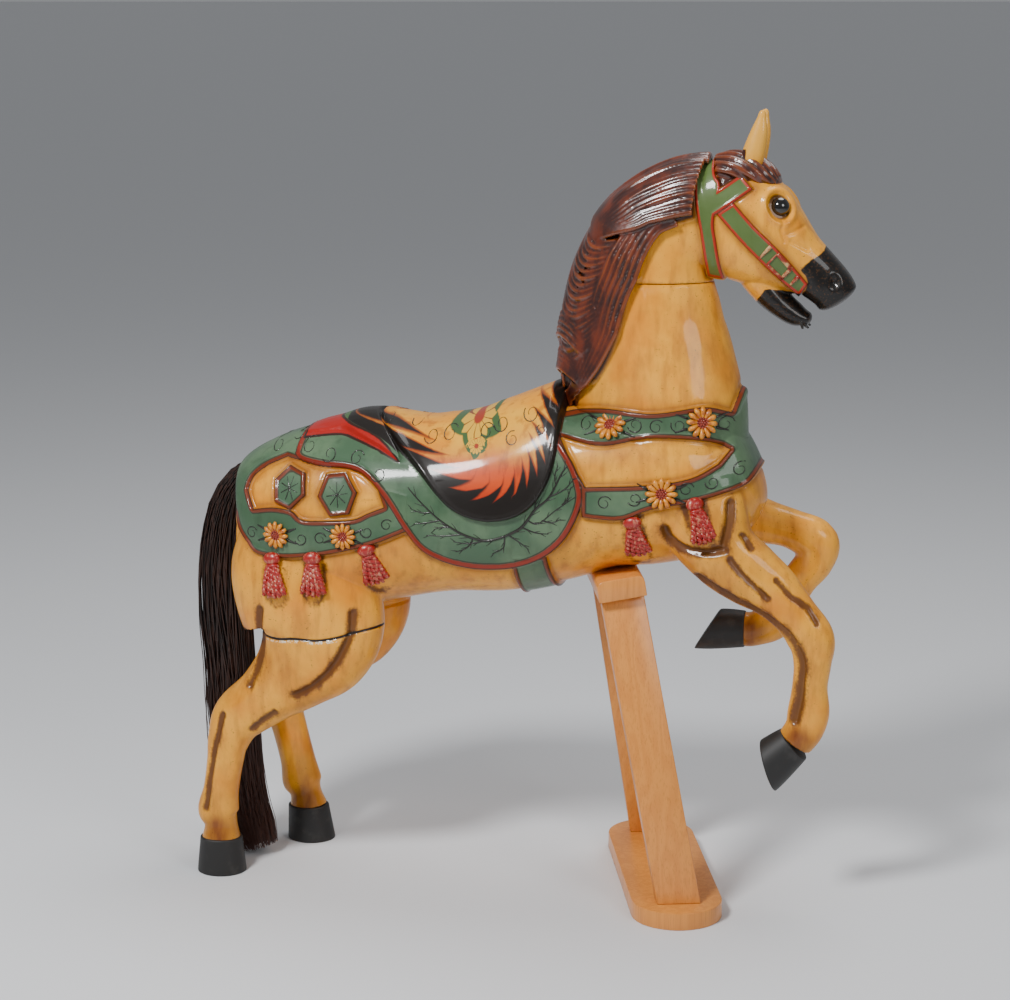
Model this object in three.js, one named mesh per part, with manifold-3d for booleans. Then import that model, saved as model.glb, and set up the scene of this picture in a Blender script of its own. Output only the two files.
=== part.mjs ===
// A carved and painted carousel horse: a prancing pony with a saddle, blanket and tasselled harness,
// glass eyes and a horsehair tail, held up under the belly by a loose pine trestle.
// Millimetres, +X towards the head, +Y to the horse's left, +Z up, the floor at Z = 0.
import * as THREE from "three";
import { mergeVertices } from "three/addons/utils/BufferGeometryUtils.js";
import Module from "manifold-3d";

const wasm = await Module();
wasm.setup();

// Driving dimensions
const GAP = 0.3; // left between pieces that only touch
const LEG_OUT = 95; // hind hooves, either side of the middle
const ARM_OUT = 82; // front legs, either side of the middle
const BLANKET_RISE = 6;
const SADDLE_RISE = 14;
const CANTLE_RISE = 9; // the padding under the back of the seat
const HARNESS_RISE = 5;
const BRIDLE_RISE = 4;
const MANE_RISE = 17;
const EYE_RADIUS = 15.5;
const EYE_SHOWS = 7; // how far the glass stands out of the cheek
const BOARD = 28; // planed pine, the thickness of the trestle's foot and posts
const FOOT_WIDTH = 145;
const FOOT_LENGTH = 460;
const POST_WIDTH = 68;
const TRESTLE_TURN = THREE.MathUtils.degToRad(16); // the trestle stands a little askew
const TRESTLE_X = 265;
const TRESTLE_Y = 8;
const TRESTLE_LEAN = 84; // how far the trestle's top lies behind its foot
const REST_BLOCK = { long: 76, wide: 190, high: 34, middle: 517 };
const THROUGH = 600; // a cut this deep passes right through the horse

// Stations of the barrel, from the rump to the breast: x, back, belly, half width.
const BARREL = [
  [-432, 640, 470, 72],
  [-405, 676, 436, 108],
  [-350, 717, 430, 137],
  [-270, 745, 442, 147],
  [-180, 750, 464, 144],
  [-90, 752, 481, 138],
  [0, 766, 486, 136],
  [90, 792, 508, 134],
  [170, 800, 533, 132],
  [250, 802, 542, 127],
  [330, 800, 566, 112],
  [385, 786, 628, 80],
].map(([x, back, belly, wide]) => [x, 0, (back + belly) / 2, (back - belly) / 2, wide]);

// Top line of the saddle's seat: x, height. The cantle rises behind, the pommel in front.
const SEAT_TOP = [
  [-330, 748],
  [-296, 774],
  [-250, 784],
  [-180, 773],
  [-108, 768],
  [-8, 786],
  [60, 812],
  [125, 850],
];

// Stations of the neck and head, from the shoulders to the lips: x, y, z, half depth, half width.
const NECK = [
  [262, 0, 720, 128, 116],
  [250, 0, 790, 136, 104],
  [238, 0, 860, 132, 90],
  [229, 0, 930, 122, 78],
  [233, 0, 1000, 108, 70],
  [255, 0, 1056, 90, 64],
  [294, 0, 1092, 78, 60],
  [338, 0, 1100, 78, 56],
];
const HEAD = [
  [318, 0, 1096, 80, 55],
  [352, 0, 1092, 91, 60],
  [388, 0, 1076, 88, 63],
  [425, 0, 1051, 73, 58],
  [458, 0, 1026, 58, 47],
  [487, 0, 1004, 48, 40],
  [512, 0, 985, 40, 40],
  [527, 0, 973, 33, 37],
];
const JAW = [
  [404, 0, 1004, 28, 38],
  [428, 0, 978, 26, 34],
  [450, 0, 960, 22, 29],
  [472, 0, 948, 20, 26],
  [486, 0, 942, 15, 23],
];
const FORELOCK = [
  [340, 0, 1172, 14, 36],
  [372, 0, 1172, 19, 45],
  [402, 0, 1163, 18, 42],
  [424, 0, 1148, 12, 32],
];
const EAR = [
  [394, 30, 1160, 19, 15],
  [399, 31, 1195, 18, 14],
  [403, 32, 1226, 15, 11],
  [405, 33, 1250, 8, 6],
];

// Stations of the legs, each as x, out from the middle, z, half depth, half width.
const THIGH = [
  [-318, 72, 600, 92, 48],
  [-322, 80, 530, 116, 62],
  [-311, 84, 480, 121, 64],
  [-297, 87, 430, 116, 60],
  [-306, 90, 387, 99, 52],
  [-335, 92, 348, 71, 43],
];
const HIND_RIGHT = [
  ...THIGH,
  [-381, 94, 306, 51, 35],
  [-428, LEG_OUT, 267, 44, 28],
  [-447, LEG_OUT, 226, 35, 24],
  [-453, LEG_OUT, 193, 31, 21],
  [-461, LEG_OUT, 143, 30, 21],
  [-467, LEG_OUT, 104, 35, 23],
  [-463, LEG_OUT, 84, 27, 23],
  [-463, LEG_OUT, 56, 33, 29],
];
const HIND_LEFT = [
  ...THIGH,
  [-376, 94, 308, 50, 35],
  [-413, LEG_OUT, 269, 43, 28],
  [-409, LEG_OUT, 228, 34, 24],
  [-400, LEG_OUT, 195, 31, 21],
  [-386, LEG_OUT, 138, 31, 21],
  [-379, LEG_OUT, 101, 35, 23],
  [-373, LEG_OUT, 82, 27, 23],
  [-368, LEG_OUT, 56, 33, 29],
];
const FORE_RIGHT = [
  [318, 62, 680, 74, 44],
  [335, 72, 625, 72, 50],
  [366, 78, 577, 58, 46],
  [408, ARM_OUT, 546, 52, 40],
  [445, ARM_OUT, 520, 44, 34],
  [480, ARM_OUT, 484, 36, 29],
  [506, ARM_OUT, 446, 37, 29],
  [509, ARM_OUT, 408, 30, 24],
  [506, ARM_OUT, 370, 28, 21],
  [505, ARM_OUT, 330, 33, 23],
  [499, ARM_OUT, 301, 31, 24],
  [484, ARM_OUT, 278, 29, 26],
];
const FORE_LEFT = [
  [318, 62, 680, 74, 44],
  [340, 72, 635, 62, 48],
  [376, 80, 606, 46, 42],
  [414, ARM_OUT, 596, 36, 36],
  [456, ARM_OUT, 586, 32, 31],
  [496, ARM_OUT, 566, 37, 30],
  [494, ARM_OUT, 534, 32, 26],
  [472, ARM_OUT, 503, 29, 22],
  [449, ARM_OUT, 462, 29, 21],
  [431, ARM_OUT, 432, 32, 24],
  [400, ARM_OUT, 416, 28, 26],
  [382, ARM_OUT, 415, 29, 27],
];

// Hooves: the coronet and the sole, each as x, z, half depth, slope of the rim in degrees.
const HOOVES = [
  { side: -1, out: LEG_OUT, coronet: [-463, 61, 35, 0], sole: [-463, 0, 41, 0] },
  { side: 1, out: LEG_OUT, coronet: [-368, 61, 35, 0], sole: [-363, 0, 41, 0] },
  { side: -1, out: ARM_OUT, coronet: [484, 276, 31, -48], sole: [443, 236, 42, -71] },
  { side: 1, out: ARM_OUT, coronet: [386, 415, 30, 90], sole: [322, 412, 39, 58] },
];
const HOOF_NARROWING = 0.93; // a hoof is a little narrower than it is long

// The horsehair tail, from its root in the rump to the floor: x, y, z, half depth, half width.
const TAIL = [
  [-396, 0, 672, 13, 13],
  [-438, 0, 656, 19, 18],
  [-463, 0, 608, 29, 23],
  [-474, 0, 545, 33, 26],
  [-477, 0, 480, 36, 28],
  [-475, 0, 410, 37, 28],
  [-470, 0, 340, 36, 27],
  [-467, 0, 270, 38, 26],
  [-464, 0, 205, 38, 25],
  [-459, 0, 145, 37, 26],
  [-450, 0, 88, 37, 28],
  [-436, 0, 46, 35, 30],
  [-425, 0, 12, 28, 27],
];

// Locks of the mane on one side, in the order that they overlap: points x, z along each, and half width.
const LOCKS = [
  { along: [[300, 1160], [240, 1138], [184, 1090], [140, 1036]], half: 18 },
  { along: [[304, 1118], [256, 1096], [216, 1050], [172, 1010]], half: 18 },
  { along: [[122, 1030], [101, 985], [92, 920], [92, 860]], half: 14 },
  { along: [[112, 990], [146, 957], [182, 962], [210, 992]], half: 15 },
  { along: [[98, 938], [128, 902], [166, 902], [200, 940]], half: 15 },
  { along: [[90, 862], [116, 834], [150, 842], [182, 886]], half: 15 },
];
const PLAIN_LOCKS = 2; // the left side, turned from the crowd, goes without the first few
const LOCK_BEDDED = 5; // how deep a lock's middle lies in the mane

// Painted and raised fields, as runs of points x, z in side view.
const MANE_FIELD = [
  [[308, 1098], [243, 1069], [215, 999], [196, 921], [166, 852], [124, 822]],
  [[50, 806], [20, 900], [40, 1010], [150, 1200], [308, 1230]],
];
const SADDLE_FIELD = [
  [[-318, 764], [-273, 766], [-232, 757], [-183, 742], [-151, 718], [-127, 686], [-103, 651], [-78, 628],
   [-46, 617], [-6, 615], [35, 623], [67, 642], [90, 672], [104, 710], [110, 760], [112, 860]],
  [[60, 900], [-318, 880]],
];
const CANTLE_FIELD = [
  [[-318, 790], [-232, 790], [-183, 742], [-146, 712]],
  [[-143, 704], [-183, 722], [-224, 734], [-257, 740], [-318, 732]],
];
const BLANKET_FIELD = [
  [[-323, 714], [-311, 703], [-270, 697], [-229, 695], [-202, 687], [-176, 666], [-155, 640], [-135, 609],
   [-109, 575], [-77, 556], [-36, 545], [4, 543], [44, 548], [84, 564], [116, 590], [138, 623], [152, 663],
   [147, 694], [134, 722], [112, 750]],
  [[112, 870], [-323, 870]],
];
const BREAST_FIELD = [
  [[104, 789], [176, 801], [254, 798], [332, 808], [372, 797]],
  [[378, 816], [388, 856]],
  [[460, 870], [460, 725]],
  [[424, 722], [403, 690], [365, 676], [319, 663], [257, 651], [210, 633], [150, 636]],
  [[150, 684], [104, 752]],
];
const BREAST_PANEL = [
  [[112, 756], [178, 746], [256, 760], [333, 756], [373, 741]],
  [[357, 721], [318, 701], [256, 690], [156, 684]],
];
const HIP_FIELD = [
  [[-126, 604], [-177, 582], [-221, 569], [-265, 559], [-290, 555], [-336, 550], [-380, 553], [-400, 570],
   [-416, 590], [-424, 612]],
  [[-470, 625], [-470, 690], [-340, 790], [-300, 790]],
  [[-300, 700], [-126, 660]],
];
const HIP_PANEL = [
  [[-165, 640], [-190, 630], [-215, 619], [-264, 615], [-298, 615], [-317, 628], [-350, 631], [-385, 625]],
  [[-399, 652], [-392, 672], [-370, 690], [-336, 706]],
  [[-311, 703], [-270, 697], [-229, 695], [-202, 687], [-176, 666]],
];
const GIRTH_FIELD = [[[36, 570], [46, 400]], [[112, 400], [92, 570]]];
const HEXAGONS = [
  { middle: [-322, 662], half: [23, 31], turn: -20 },
  { middle: [-241, 656], half: [27, 32], turn: 8 },
];
const CROWN_FIELD = [
  [[306, 1230], [305, 1130], [313, 1089], [317, 1048], [329, 960]],
  [[354, 960], [349, 1043], [342, 1093], [344, 1152], [331, 1230]],
];
const BROW_FIELD = [[[310, 1122], [380, 1162], [397, 1146], [317, 1086]]];
const CHEEK_FIELD = [
  [[345, 1105], [366, 1119]],
  [[433, 1063], [475, 1014], [489, 994]],
  [[470, 978], [441, 1004], [415, 1029]],
];

// Tassels and rosettes on one flank: place x, z, and size or slope.
const TASSELS = [
  { at: [228, 634], sway: 8 },
  { at: [322, 663], sway: 16 },
  { at: [-350, 551], sway: 6 },
  { at: [-281, 558], sway: 0 },
  { at: [-196, 574], sway: 12 },
];
const TASSEL_LENGTH = 66;
const TASSEL_FORM = [[-0.14, 8], [0, 14], [0.18, 10], [1, 25]]; // share of the length, half width
const ROSETTES = [
  { at: [189, 776], radius: 26 },
  { at: [330, 784], radius: 25 },
  { at: [274, 677], radius: 25 },
  { at: [-342, 588], radius: 22 },
  { at: [-230, 592], radius: 21 },
];
const PETALS = 8;
const EYE_AT = [438, 1114];
const NOSTRIL_AT = [526, 990];

// A closed BufferGeometry as a solid that can be joined and cut.
function solidOf(geometry) {
  const bare = new THREE.BufferGeometry().setAttribute("position", geometry.getAttribute("position"));
  if (geometry.index) bare.setIndex(geometry.index);
  const merged = mergeVertices(bare, 1e-3);
  return new wasm.Manifold(
    new wasm.Mesh({
      numProp: 3,
      vertProperties: merged.attributes.position.array,
      triVerts: new Uint32Array(merged.index.array),
    }),
  );
}

function geometryOf(solid) {
  const mesh = solid.getMesh();
  return new THREE.BufferGeometry()
    .setAttribute("position", new THREE.BufferAttribute(mesh.vertProperties, 3))
    .setIndex(new THREE.BufferAttribute(mesh.triVerts, 1));
}

const join = (solids) => solids.reduce((whole, piece) => whole.add(piece));

// The outer skin alone, with the small pockets shut in between the carvings filled.
const filled = (solid) => solid.decompose().reduce((a, b) => (a.volume() > b.volume() ? a : b));

// The station at share t of the way along, on a smooth curve through the given ones.
function stationAt(stations, t) {
  const last = stations.length - 1;
  const first = Math.min(Math.floor(t * last), last - 1);
  const f = t * last - first;
  const [a, b, c, d] = [-1, 0, 1, 2].map((k) => stations[THREE.MathUtils.clamp(first + k, 0, last)]);
  return b.map(
    (_, k) => b[k] + 0.5 * f * (c[k] - a[k] + f * (2 * a[k] - 5 * b[k] + 4 * c[k] - d[k]
      + f * (3 * (b[k] - c[k]) + d[k] - a[k]))),
  );
}

// A closed skin over oval rings, strung along a smooth path of stations x, y, z, half depth, half width.
// Rings stand square to the path, or at the slopes given in degrees at its two ends.
// The ends swell out by their cap lengths, square above 2 fills the ovals' corners, and every second
// point stands back by the flute.
function loft(stations, { rings, sides, caps = [0, 0], swell = 0, square = 2, flute = 0, slopes = null }) {
  const points = [];
  const addRing = (share, push, scale) => {
    const [x, y, z, deep, wide] = stationAt(stations, share);
    const ahead = stationAt(stations, Math.min(share + 0.01, 1));
    const behind = stationAt(stations, Math.max(share - 0.01, 0));
    const path = new THREE.Vector3(...ahead).sub(new THREE.Vector3(...behind)).normalize();
    const across = new THREE.Vector3(0, 1, 0).addScaledVector(path, -path.y).normalize();
    const down = across.clone().cross(path);
    if (slopes) {
      const slope = THREE.MathUtils.degToRad(THREE.MathUtils.lerp(...slopes, share));
      across.set(0, 1, 0);
      down.set(Math.cos(slope), 0, Math.sin(slope));
      if (down.clone().cross(across).dot(path) < 0) down.negate();
    }
    for (let k = 0; k < sides; k++) {
      const turn = (2 * Math.PI * k) / sides;
      const round = (v) => Math.sign(v) * Math.abs(v) ** (2 / square) * (1 - flute * (k % 2));
      points.push(
        new THREE.Vector3(x, y, z)
          .addScaledVector(path, push)
          .addScaledVector(down, round(Math.cos(turn)) * (deep + swell) * scale)
          .addScaledVector(across, round(Math.sin(turn)) * (wide + swell) * scale),
      );
    }
  };
  const capSteps = [0.95, 0.6];
  const [start, end] = caps.map((cap) => (cap ? cap + swell : 0));
  if (start) capSteps.forEach((s) => addRing(0, -start * s, Math.sqrt(1 - s * s)));
  for (let i = 0; i <= rings; i++) addRing(i / rings, 0, 1);
  if (end) capSteps.toReversed().forEach((s) => addRing(1, end * s, Math.sqrt(1 - s * s)));

  const count = points.length / sides;
  const triangles = [];
  for (let i = 0; i < count - 1; i++) {
    for (let k = 0; k < sides; k++) {
      const [a, b] = [i * sides + k, i * sides + ((k + 1) % sides)];
      triangles.push(a, b, b + sides, a, b + sides, a + sides);
    }
  }
  for (let k = 1; k < sides - 1; k++) {
    const top = (count - 1) * sides;
    triangles.push(0, k + 1, k, top, top + k, top + k + 1);
  }
  return solidOf(new THREE.BufferGeometry().setFromPoints(points).setIndex(triangles));
}

// Runs of points as one closed outline.
function outlineOf(runs) {
  return runs.flat().map(([x, z]) => new THREE.Vector2(x, z));
}

// A field in side view, pushed right through the horse from flank to flank.
function prism(points) {
  const shape = new THREE.Shape(points);
  const geometry = new THREE.ExtrudeGeometry(shape, { depth: THROUGH, bevelEnabled: false });
  return solidOf(geometry.translate(0, 0, -THROUGH / 2).rotateX(Math.PI / 2));
}

const mirrored = (stations, side) => stations.map(([x, y, ...rest]) => [x, side * y, ...rest]);

// The main masses of the horse, each optionally swollen to make room for what lies on it.
const barrel = (swell = 0) => loft(BARREL, { rings: 12, sides: 18, caps: [9, 22], swell, square: 2.3 });
const neck = (swell = 0) => loft(NECK, { rings: 8, sides: 16, swell });
const head = (swell = 0) => loft(HEAD, { rings: 7, sides: 14, caps: [0, 12], swell, square: 2.5 });
const leg = (stations, side, swell = 0) =>
  loft(mirrored(stations, side), { rings: stations.length - 1, sides: 10, swell, square: 2.15 });
const hindLegs = (swell = 0) => [leg(HIND_RIGHT, -1, swell), leg(HIND_LEFT, 1, swell)];
const foreLegs = (swell = 0) => [leg(FORE_RIGHT, -1, swell), leg(FORE_LEFT, 1, swell)];

function hoof({ side, out, coronet, sole }) {
  const rims = [coronet, sole].map(([x, z, deep]) => [x, side * out, z, deep, deep * HOOF_NARROWING]);
  return loft(rims, { rings: 1, sides: 10, slopes: [coronet[3], sole[3]] });
}

// A layer of carving: the body swollen by the rise, kept only within the field, a solid in side view.
function layer(rise, field) {
  return join([barrel(rise), neck(rise), ...hindLegs(rise), ...foreLegs(rise)]).intersect(field);
}

// The bands round the breast and hips with their open panels, the girth and the two plaques.
function harness() {
  const [breast, hip] = [[BREAST_FIELD, BREAST_PANEL], [HIP_FIELD, HIP_PANEL]].map(([band, panel]) =>
    prism(outlineOf(band)).subtract(prism(outlineOf(panel))),
  );
  return layer(HARNESS_RISE, join([breast, hip, prism(outlineOf(GIRTH_FIELD)), ...HEXAGONS.map(hexagon)]));
}

// The seat's form, kept within a field: the top and the flaps, or the padding that shows under the cantle.
function saddle(rise, field) {
  const seatTop = new THREE.SplineCurve(SEAT_TOP.map(([x, z]) => new THREE.Vector2(x, z)));
  const heights = seatTop.getPoints(60);
  const topAt = (x) => heights.reduce((best, p) => (Math.abs(p.x - x) < Math.abs(best.x - x) ? p : best)).y;
  const seat = BARREL.filter(([x]) => x > -360 && x < 180).map(([x, y, z, deep, wide]) => {
    const belly = z - deep;
    const top = topAt(x) - SADDLE_RISE + rise;
    return [x, y, (top + belly) / 2, (top - belly) / 2, wide + rise];
  });
  return loft(seat, { rings: 8, sides: 18, square: 2.3 }).intersect(prism(outlineOf(field)));
}

function hexagon({ middle, half, turn }) {
  const corners = Array.from({ length: 6 }, (_, k) => {
    const angle = (k * Math.PI) / 3;
    return new THREE.Vector2(half[0] * Math.cos(angle), half[1] * Math.sin(angle))
      .rotateAround(new THREE.Vector2(), THREE.MathUtils.degToRad(turn))
      .add(new THREE.Vector2(...middle));
  });
  return prism(corners);
}

function bridle() {
  const skull = join([head(BRIDLE_RISE), neck(BRIDLE_RISE), loft(FORELOCK, forelockForm)]);
  const straps = [CROWN_FIELD, BROW_FIELD, CHEEK_FIELD];
  return skull.intersect(join(straps.map((field) => prism(outlineOf(field)))));
}
const forelockForm = { rings: 4, sides: 8, caps: [0, 8] };

// Where a line across the horse at x, z first meets its right flank, and which way the surface faces there.
function flankOf(solid) {
  const mesh = new THREE.Mesh(geometryOf(solid), new THREE.MeshBasicMaterial());
  return ([x, z]) => {
    const ray = new THREE.Raycaster(new THREE.Vector3(x, -THROUGH, z), new THREE.Vector3(0, 1, 0));
    const hit = ray.intersectObject(mesh)[0];
    return hit ? { point: hit.point, normal: hit.face.normal } : null;
  };
}

// A lock of the mane: a tapered roll that follows the neck's flank.
function lock({ along, half }, flank) {
  const path = Array.from({ length: 7 }, (_, k) => {
    const share = k / 6;
    const curve = new THREE.SplineCurve(along.map(([x, z]) => new THREE.Vector2(x, z)));
    let { x, y: z } = curve.getPoint(share);
    while (!flank([x, z])) x += 2; // a point beyond the crest is drawn in on to it
    const { point } = flank([x, z]);
    const girth = half * (0.3 + 0.7 * Math.sin(Math.PI * (0.12 + 0.82 * share)));
    return [x, point.y + LOCK_BEDDED, z, girth, girth * 0.85];
  });
  return loft(path, { rings: 4, sides: 5 });
}

// A carved tassel: a bound head over a fluted skirt that widens downwards, bedded in the flank.
function tassel({ at, sway }, flank) {
  const lean = THREE.MathUtils.degToRad(sway);
  const stations = TASSEL_FORM.map(([drop, half]) => {
    const x = at[0] + TASSEL_LENGTH * drop * Math.sin(lean);
    const z = at[1] - TASSEL_LENGTH * drop * Math.cos(lean);
    return [x, flank([x, z]).point.y + 2, z, half, half * 0.6 + 3];
  });
  return loft(stations, { rings: TASSEL_FORM.length - 1, sides: 8, flute: 0.14 });
}

// A low rosette: a disc with a petalled rim, set square on the flank.
function rosette({ at, radius }, flank) {
  const { point, normal } = flank(at);
  const rim = Array.from({ length: PETALS * 2 }, (_, k) => {
    const angle = (k * Math.PI) / PETALS;
    const reach = radius * (k % 2 ? 0.8 : 1);
    return new THREE.Vector2(reach * Math.cos(angle), reach * Math.sin(angle));
  });
  const disc = new THREE.ExtrudeGeometry(new THREE.Shape(rim), { depth: 14, bevelEnabled: false });
  const facing = new THREE.Quaternion().setFromUnitVectors(new THREE.Vector3(0, 0, 1), normal);
  const seat = point.clone().addScaledVector(normal, -11);
  return solidOf(disc.applyQuaternion(facing).translate(...seat));
}

const mirrorY = (solid) => solid.mirror([0, 1, 0]);

function eyePlaces() {
  const surface = flankOf(head());
  const out = -surface(EYE_AT).point.y - EYE_RADIUS + EYE_SHOWS;
  return [-1, 1].map((side) => new THREE.Vector3(EYE_AT[0], side * out, EYE_AT[1]));
}

function ball(at, radius, sides = 10) {
  return solidOf(new THREE.SphereGeometry(radius, sides, Math.round(sides * 0.7)).translate(...at));
}

function horse() {
  const masses = join([barrel(), neck(), head(), ...hindLegs(), ...foreLegs()]);
  const maneHull = neck(MANE_RISE).intersect(prism(outlineOf(MANE_FIELD)));
  const maneFlank = flankOf(join([maneHull, masses]));
  const locks = LOCKS.map((each) => lock(each, maneFlank));
  const dressed = join([
    masses,
    maneHull,
    layer(BLANKET_RISE, prism(outlineOf(BLANKET_FIELD))),
    saddle(CANTLE_RISE, CANTLE_FIELD),
    saddle(SADDLE_RISE, SADDLE_FIELD),
    harness(),
  ]);
  const flank = flankOf(dressed);
  const trim = [
    ...locks,
    ...TASSELS.map((each) => tassel(each, flank)),
    loft(mirrored(EAR, -1), { rings: 4, sides: 8, caps: [0, 12] }),
  ];
  const rosettes = ROSETTES.map((each) => rosette(each, flank)); // the left flank's are only painted
  const eyes = eyePlaces();
  const nostrils = [-1, 1].map((side) => ball([NOSTRIL_AT[0], side * 38, NOSTRIL_AT[1]], 8, 8));
  const carved = join([
    dressed,
    loft(JAW, { rings: 4, sides: 8, caps: [0, 8] }),
    loft(FORELOCK, forelockForm),
    bridle(),
    ...HOOVES.map(hoof),
    ...trim,
    ...trim.slice(PLAIN_LOCKS).map(mirrorY),
    ...rosettes,
  ]);
  const hollows = [...eyes.map((at) => ball(at, EYE_RADIUS + GAP)), ...nostrils];
  return hollows.reduce((whole, hollow) => whole.subtract(hollow), filled(carved));
}

function tail() {
  const room = join([barrel(HARNESS_RISE + GAP), ...hindLegs(HARNESS_RISE + GAP)]);
  return loft(TAIL, { rings: 12, sides: 8 }).subtract(room);
}

// The trestle, in its own frame: a round-ended foot, two splayed posts and a block under the belly.
const restTurn = Math.atan2(-TRESTLE_LEAN, REST_BLOCK.middle);
const POST_FOOT_OUT = 174;
const POST_TOP_OUT = 60;

function footBoard() {
  const straight = (FOOT_LENGTH - FOOT_WIDTH) / 2;
  const shape = new THREE.Shape();
  shape.absarc(0, straight, FOOT_WIDTH / 2, 0, Math.PI);
  shape.absarc(0, -straight, FOOT_WIDTH / 2, Math.PI, 2 * Math.PI);
  const edge = 3;
  const geometry = new THREE.ExtrudeGeometry(shape, {
    depth: BOARD - 2 * edge,
    bevelSize: edge,
    bevelThickness: edge,
    bevelOffset: -edge,
    bevelSegments: 1,
    curveSegments: 7,
  });
  return geometry.translate(0, 0, edge);
}

function restBlock(extra = 0) {
  const { long, wide, high } = REST_BLOCK;
  const round = 12;
  const [x, z] = [long / 2 + extra, high / 2 + extra];
  const shape = new THREE.Shape([
    new THREE.Vector2(-x, -z),
    new THREE.Vector2(x, -z),
    new THREE.Vector2(x, z - round),
  ]);
  shape.quadraticCurveTo(x, z, x - round, z);
  shape.lineTo(-x + round, z);
  shape.quadraticCurveTo(-x, z, -x, z - round);
  const depth = wide + 2 * extra;
  const options = { depth, bevelEnabled: false, curveSegments: 4 };
  return new THREE.ExtrudeGeometry(shape, options)
    .translate(0, 0, -depth / 2)
    .rotateX(Math.PI / 2)
    .rotateY(restTurn)
    .translate(-TRESTLE_LEAN, 0, REST_BLOCK.middle);
}

function post(side) {
  const foot = new THREE.Vector3(0, side * POST_FOOT_OUT, BOARD);
  const top = new THREE.Vector3(-TRESTLE_LEAN, side * POST_TOP_OUT, REST_BLOCK.middle);
  const along = top.clone().sub(foot);
  const up = along.clone().normalize();
  const across = new THREE.Vector3(1, 0, 0).addScaledVector(up, -up.x).normalize();
  const placed = new THREE.Matrix4().makeBasis(across, up.clone().cross(across), up);
  const spare = 60; // sawn off square to the foot and the block
  const plank = new THREE.BoxGeometry(POST_WIDTH, BOARD, along.length() + spare)
    .applyMatrix4(placed.setPosition(foot.clone().add(top).divideScalar(2)));
  const floor = new THREE.BoxGeometry(THROUGH, THROUGH, BOARD * 4).translate(0, 0, -BOARD + GAP);
  const above = new THREE.BoxGeometry(THROUGH, THROUGH, 200)
    .translate(0, 0, 100 - REST_BLOCK.high / 2 - GAP)
    .rotateY(restTurn)
    .translate(-TRESTLE_LEAN, 0, REST_BLOCK.middle);
  return solidOf(plank).subtract(solidOf(floor)).subtract(solidOf(above));
}

const material = (color, roughness, metalness = 0) =>
  new THREE.MeshStandardMaterial({ color, roughness, metalness });
const PAINTED_WOOD = material(0xcf9548, 0.3);
const GLASS_EYE = material(0x0b0705, 0.05);
const HORSEHAIR = material(0x1c1210, 0.5);
const PINE = material(0xd98d47, 0.55);

function named(name, geometry, surface) {
  const mesh = new THREE.Mesh(geometry, surface);
  mesh.name = name;
  return mesh;
}

function trestle() {
  const group = new THREE.Group();
  group.position.set(TRESTLE_X, TRESTLE_Y, 0);
  group.rotation.z = TRESTLE_TURN;
  group.updateMatrixWorld(true);
  const toTrestle = group.matrixWorld.clone().invert();
  const belly = solidOf(geometryOf(join([barrel(GAP), ...foreLegs(GAP)])).applyMatrix4(toTrestle));
  group.add(
    named("stand_foot", footBoard(), PINE),
    named("stand_post_right", geometryOf(post(-1)), PINE),
    named("stand_post_left", geometryOf(post(1)), PINE),
    named("stand_block", geometryOf(solidOf(restBlock()).subtract(belly)), PINE),
  );
  return group;
}

const figure = new THREE.Group();
const [rightEye, leftEye] = eyePlaces();
figure.add(
  named("horse", geometryOf(horse()), PAINTED_WOOD),
  named("eye_right", geometryOf(ball(rightEye, EYE_RADIUS)), GLASS_EYE),
  named("eye_left", geometryOf(ball(leftEye, EYE_RADIUS)), GLASS_EYE),
  named("tail", geometryOf(tail()), HORSEHAIR),
  trestle(),
);

// The origin lies on the floor, under the middle of the whole.
const middle = new THREE.Box3().setFromObject(figure).getCenter(new THREE.Vector3());
figure.position.set(-middle.x, -middle.y, 0);
const carousel = new THREE.Group();
carousel.add(figure);

export default carousel;
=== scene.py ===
# %% [markdown]
# # A carved carousel horse
# The real object is a wooden pony from a merry-go-round: carved, painted in oil colours and varnished, with
# glass eyes and a tail of real hair. It stands on its hind hooves and on a loose pine trestle.
# The measured solids come first. Everything made below is fitted to them, in metres, with the floor at zero.

# %% Open the measured part
import math

import bpy
import numpy as np
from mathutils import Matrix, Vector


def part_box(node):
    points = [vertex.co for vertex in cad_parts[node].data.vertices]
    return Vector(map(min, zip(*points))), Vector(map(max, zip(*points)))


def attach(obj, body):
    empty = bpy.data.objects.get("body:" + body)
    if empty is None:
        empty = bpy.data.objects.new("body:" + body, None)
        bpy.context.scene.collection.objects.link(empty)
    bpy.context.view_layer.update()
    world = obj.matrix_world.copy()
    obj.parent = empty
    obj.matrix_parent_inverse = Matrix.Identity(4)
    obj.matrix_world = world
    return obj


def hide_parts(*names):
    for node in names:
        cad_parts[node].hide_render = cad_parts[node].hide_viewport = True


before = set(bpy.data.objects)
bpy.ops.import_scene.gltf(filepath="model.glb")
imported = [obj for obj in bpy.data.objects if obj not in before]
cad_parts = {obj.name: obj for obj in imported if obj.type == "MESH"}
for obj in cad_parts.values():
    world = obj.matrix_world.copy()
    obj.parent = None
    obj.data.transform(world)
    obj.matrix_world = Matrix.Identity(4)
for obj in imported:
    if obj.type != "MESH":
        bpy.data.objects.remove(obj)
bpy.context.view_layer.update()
bpy.ops.object.select_all(action="DESELECT")
print("solids:", sorted(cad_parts))

# %% [markdown]
# ## The drawing
# Sizes are easiest to read in millimetres, with X towards the head, Y to the horse's left and Z up. The
# solids' origin lies under the middle of the whole, so one shift, taken from the trestle's foot, leads from
# the drawing to the frame.

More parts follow.
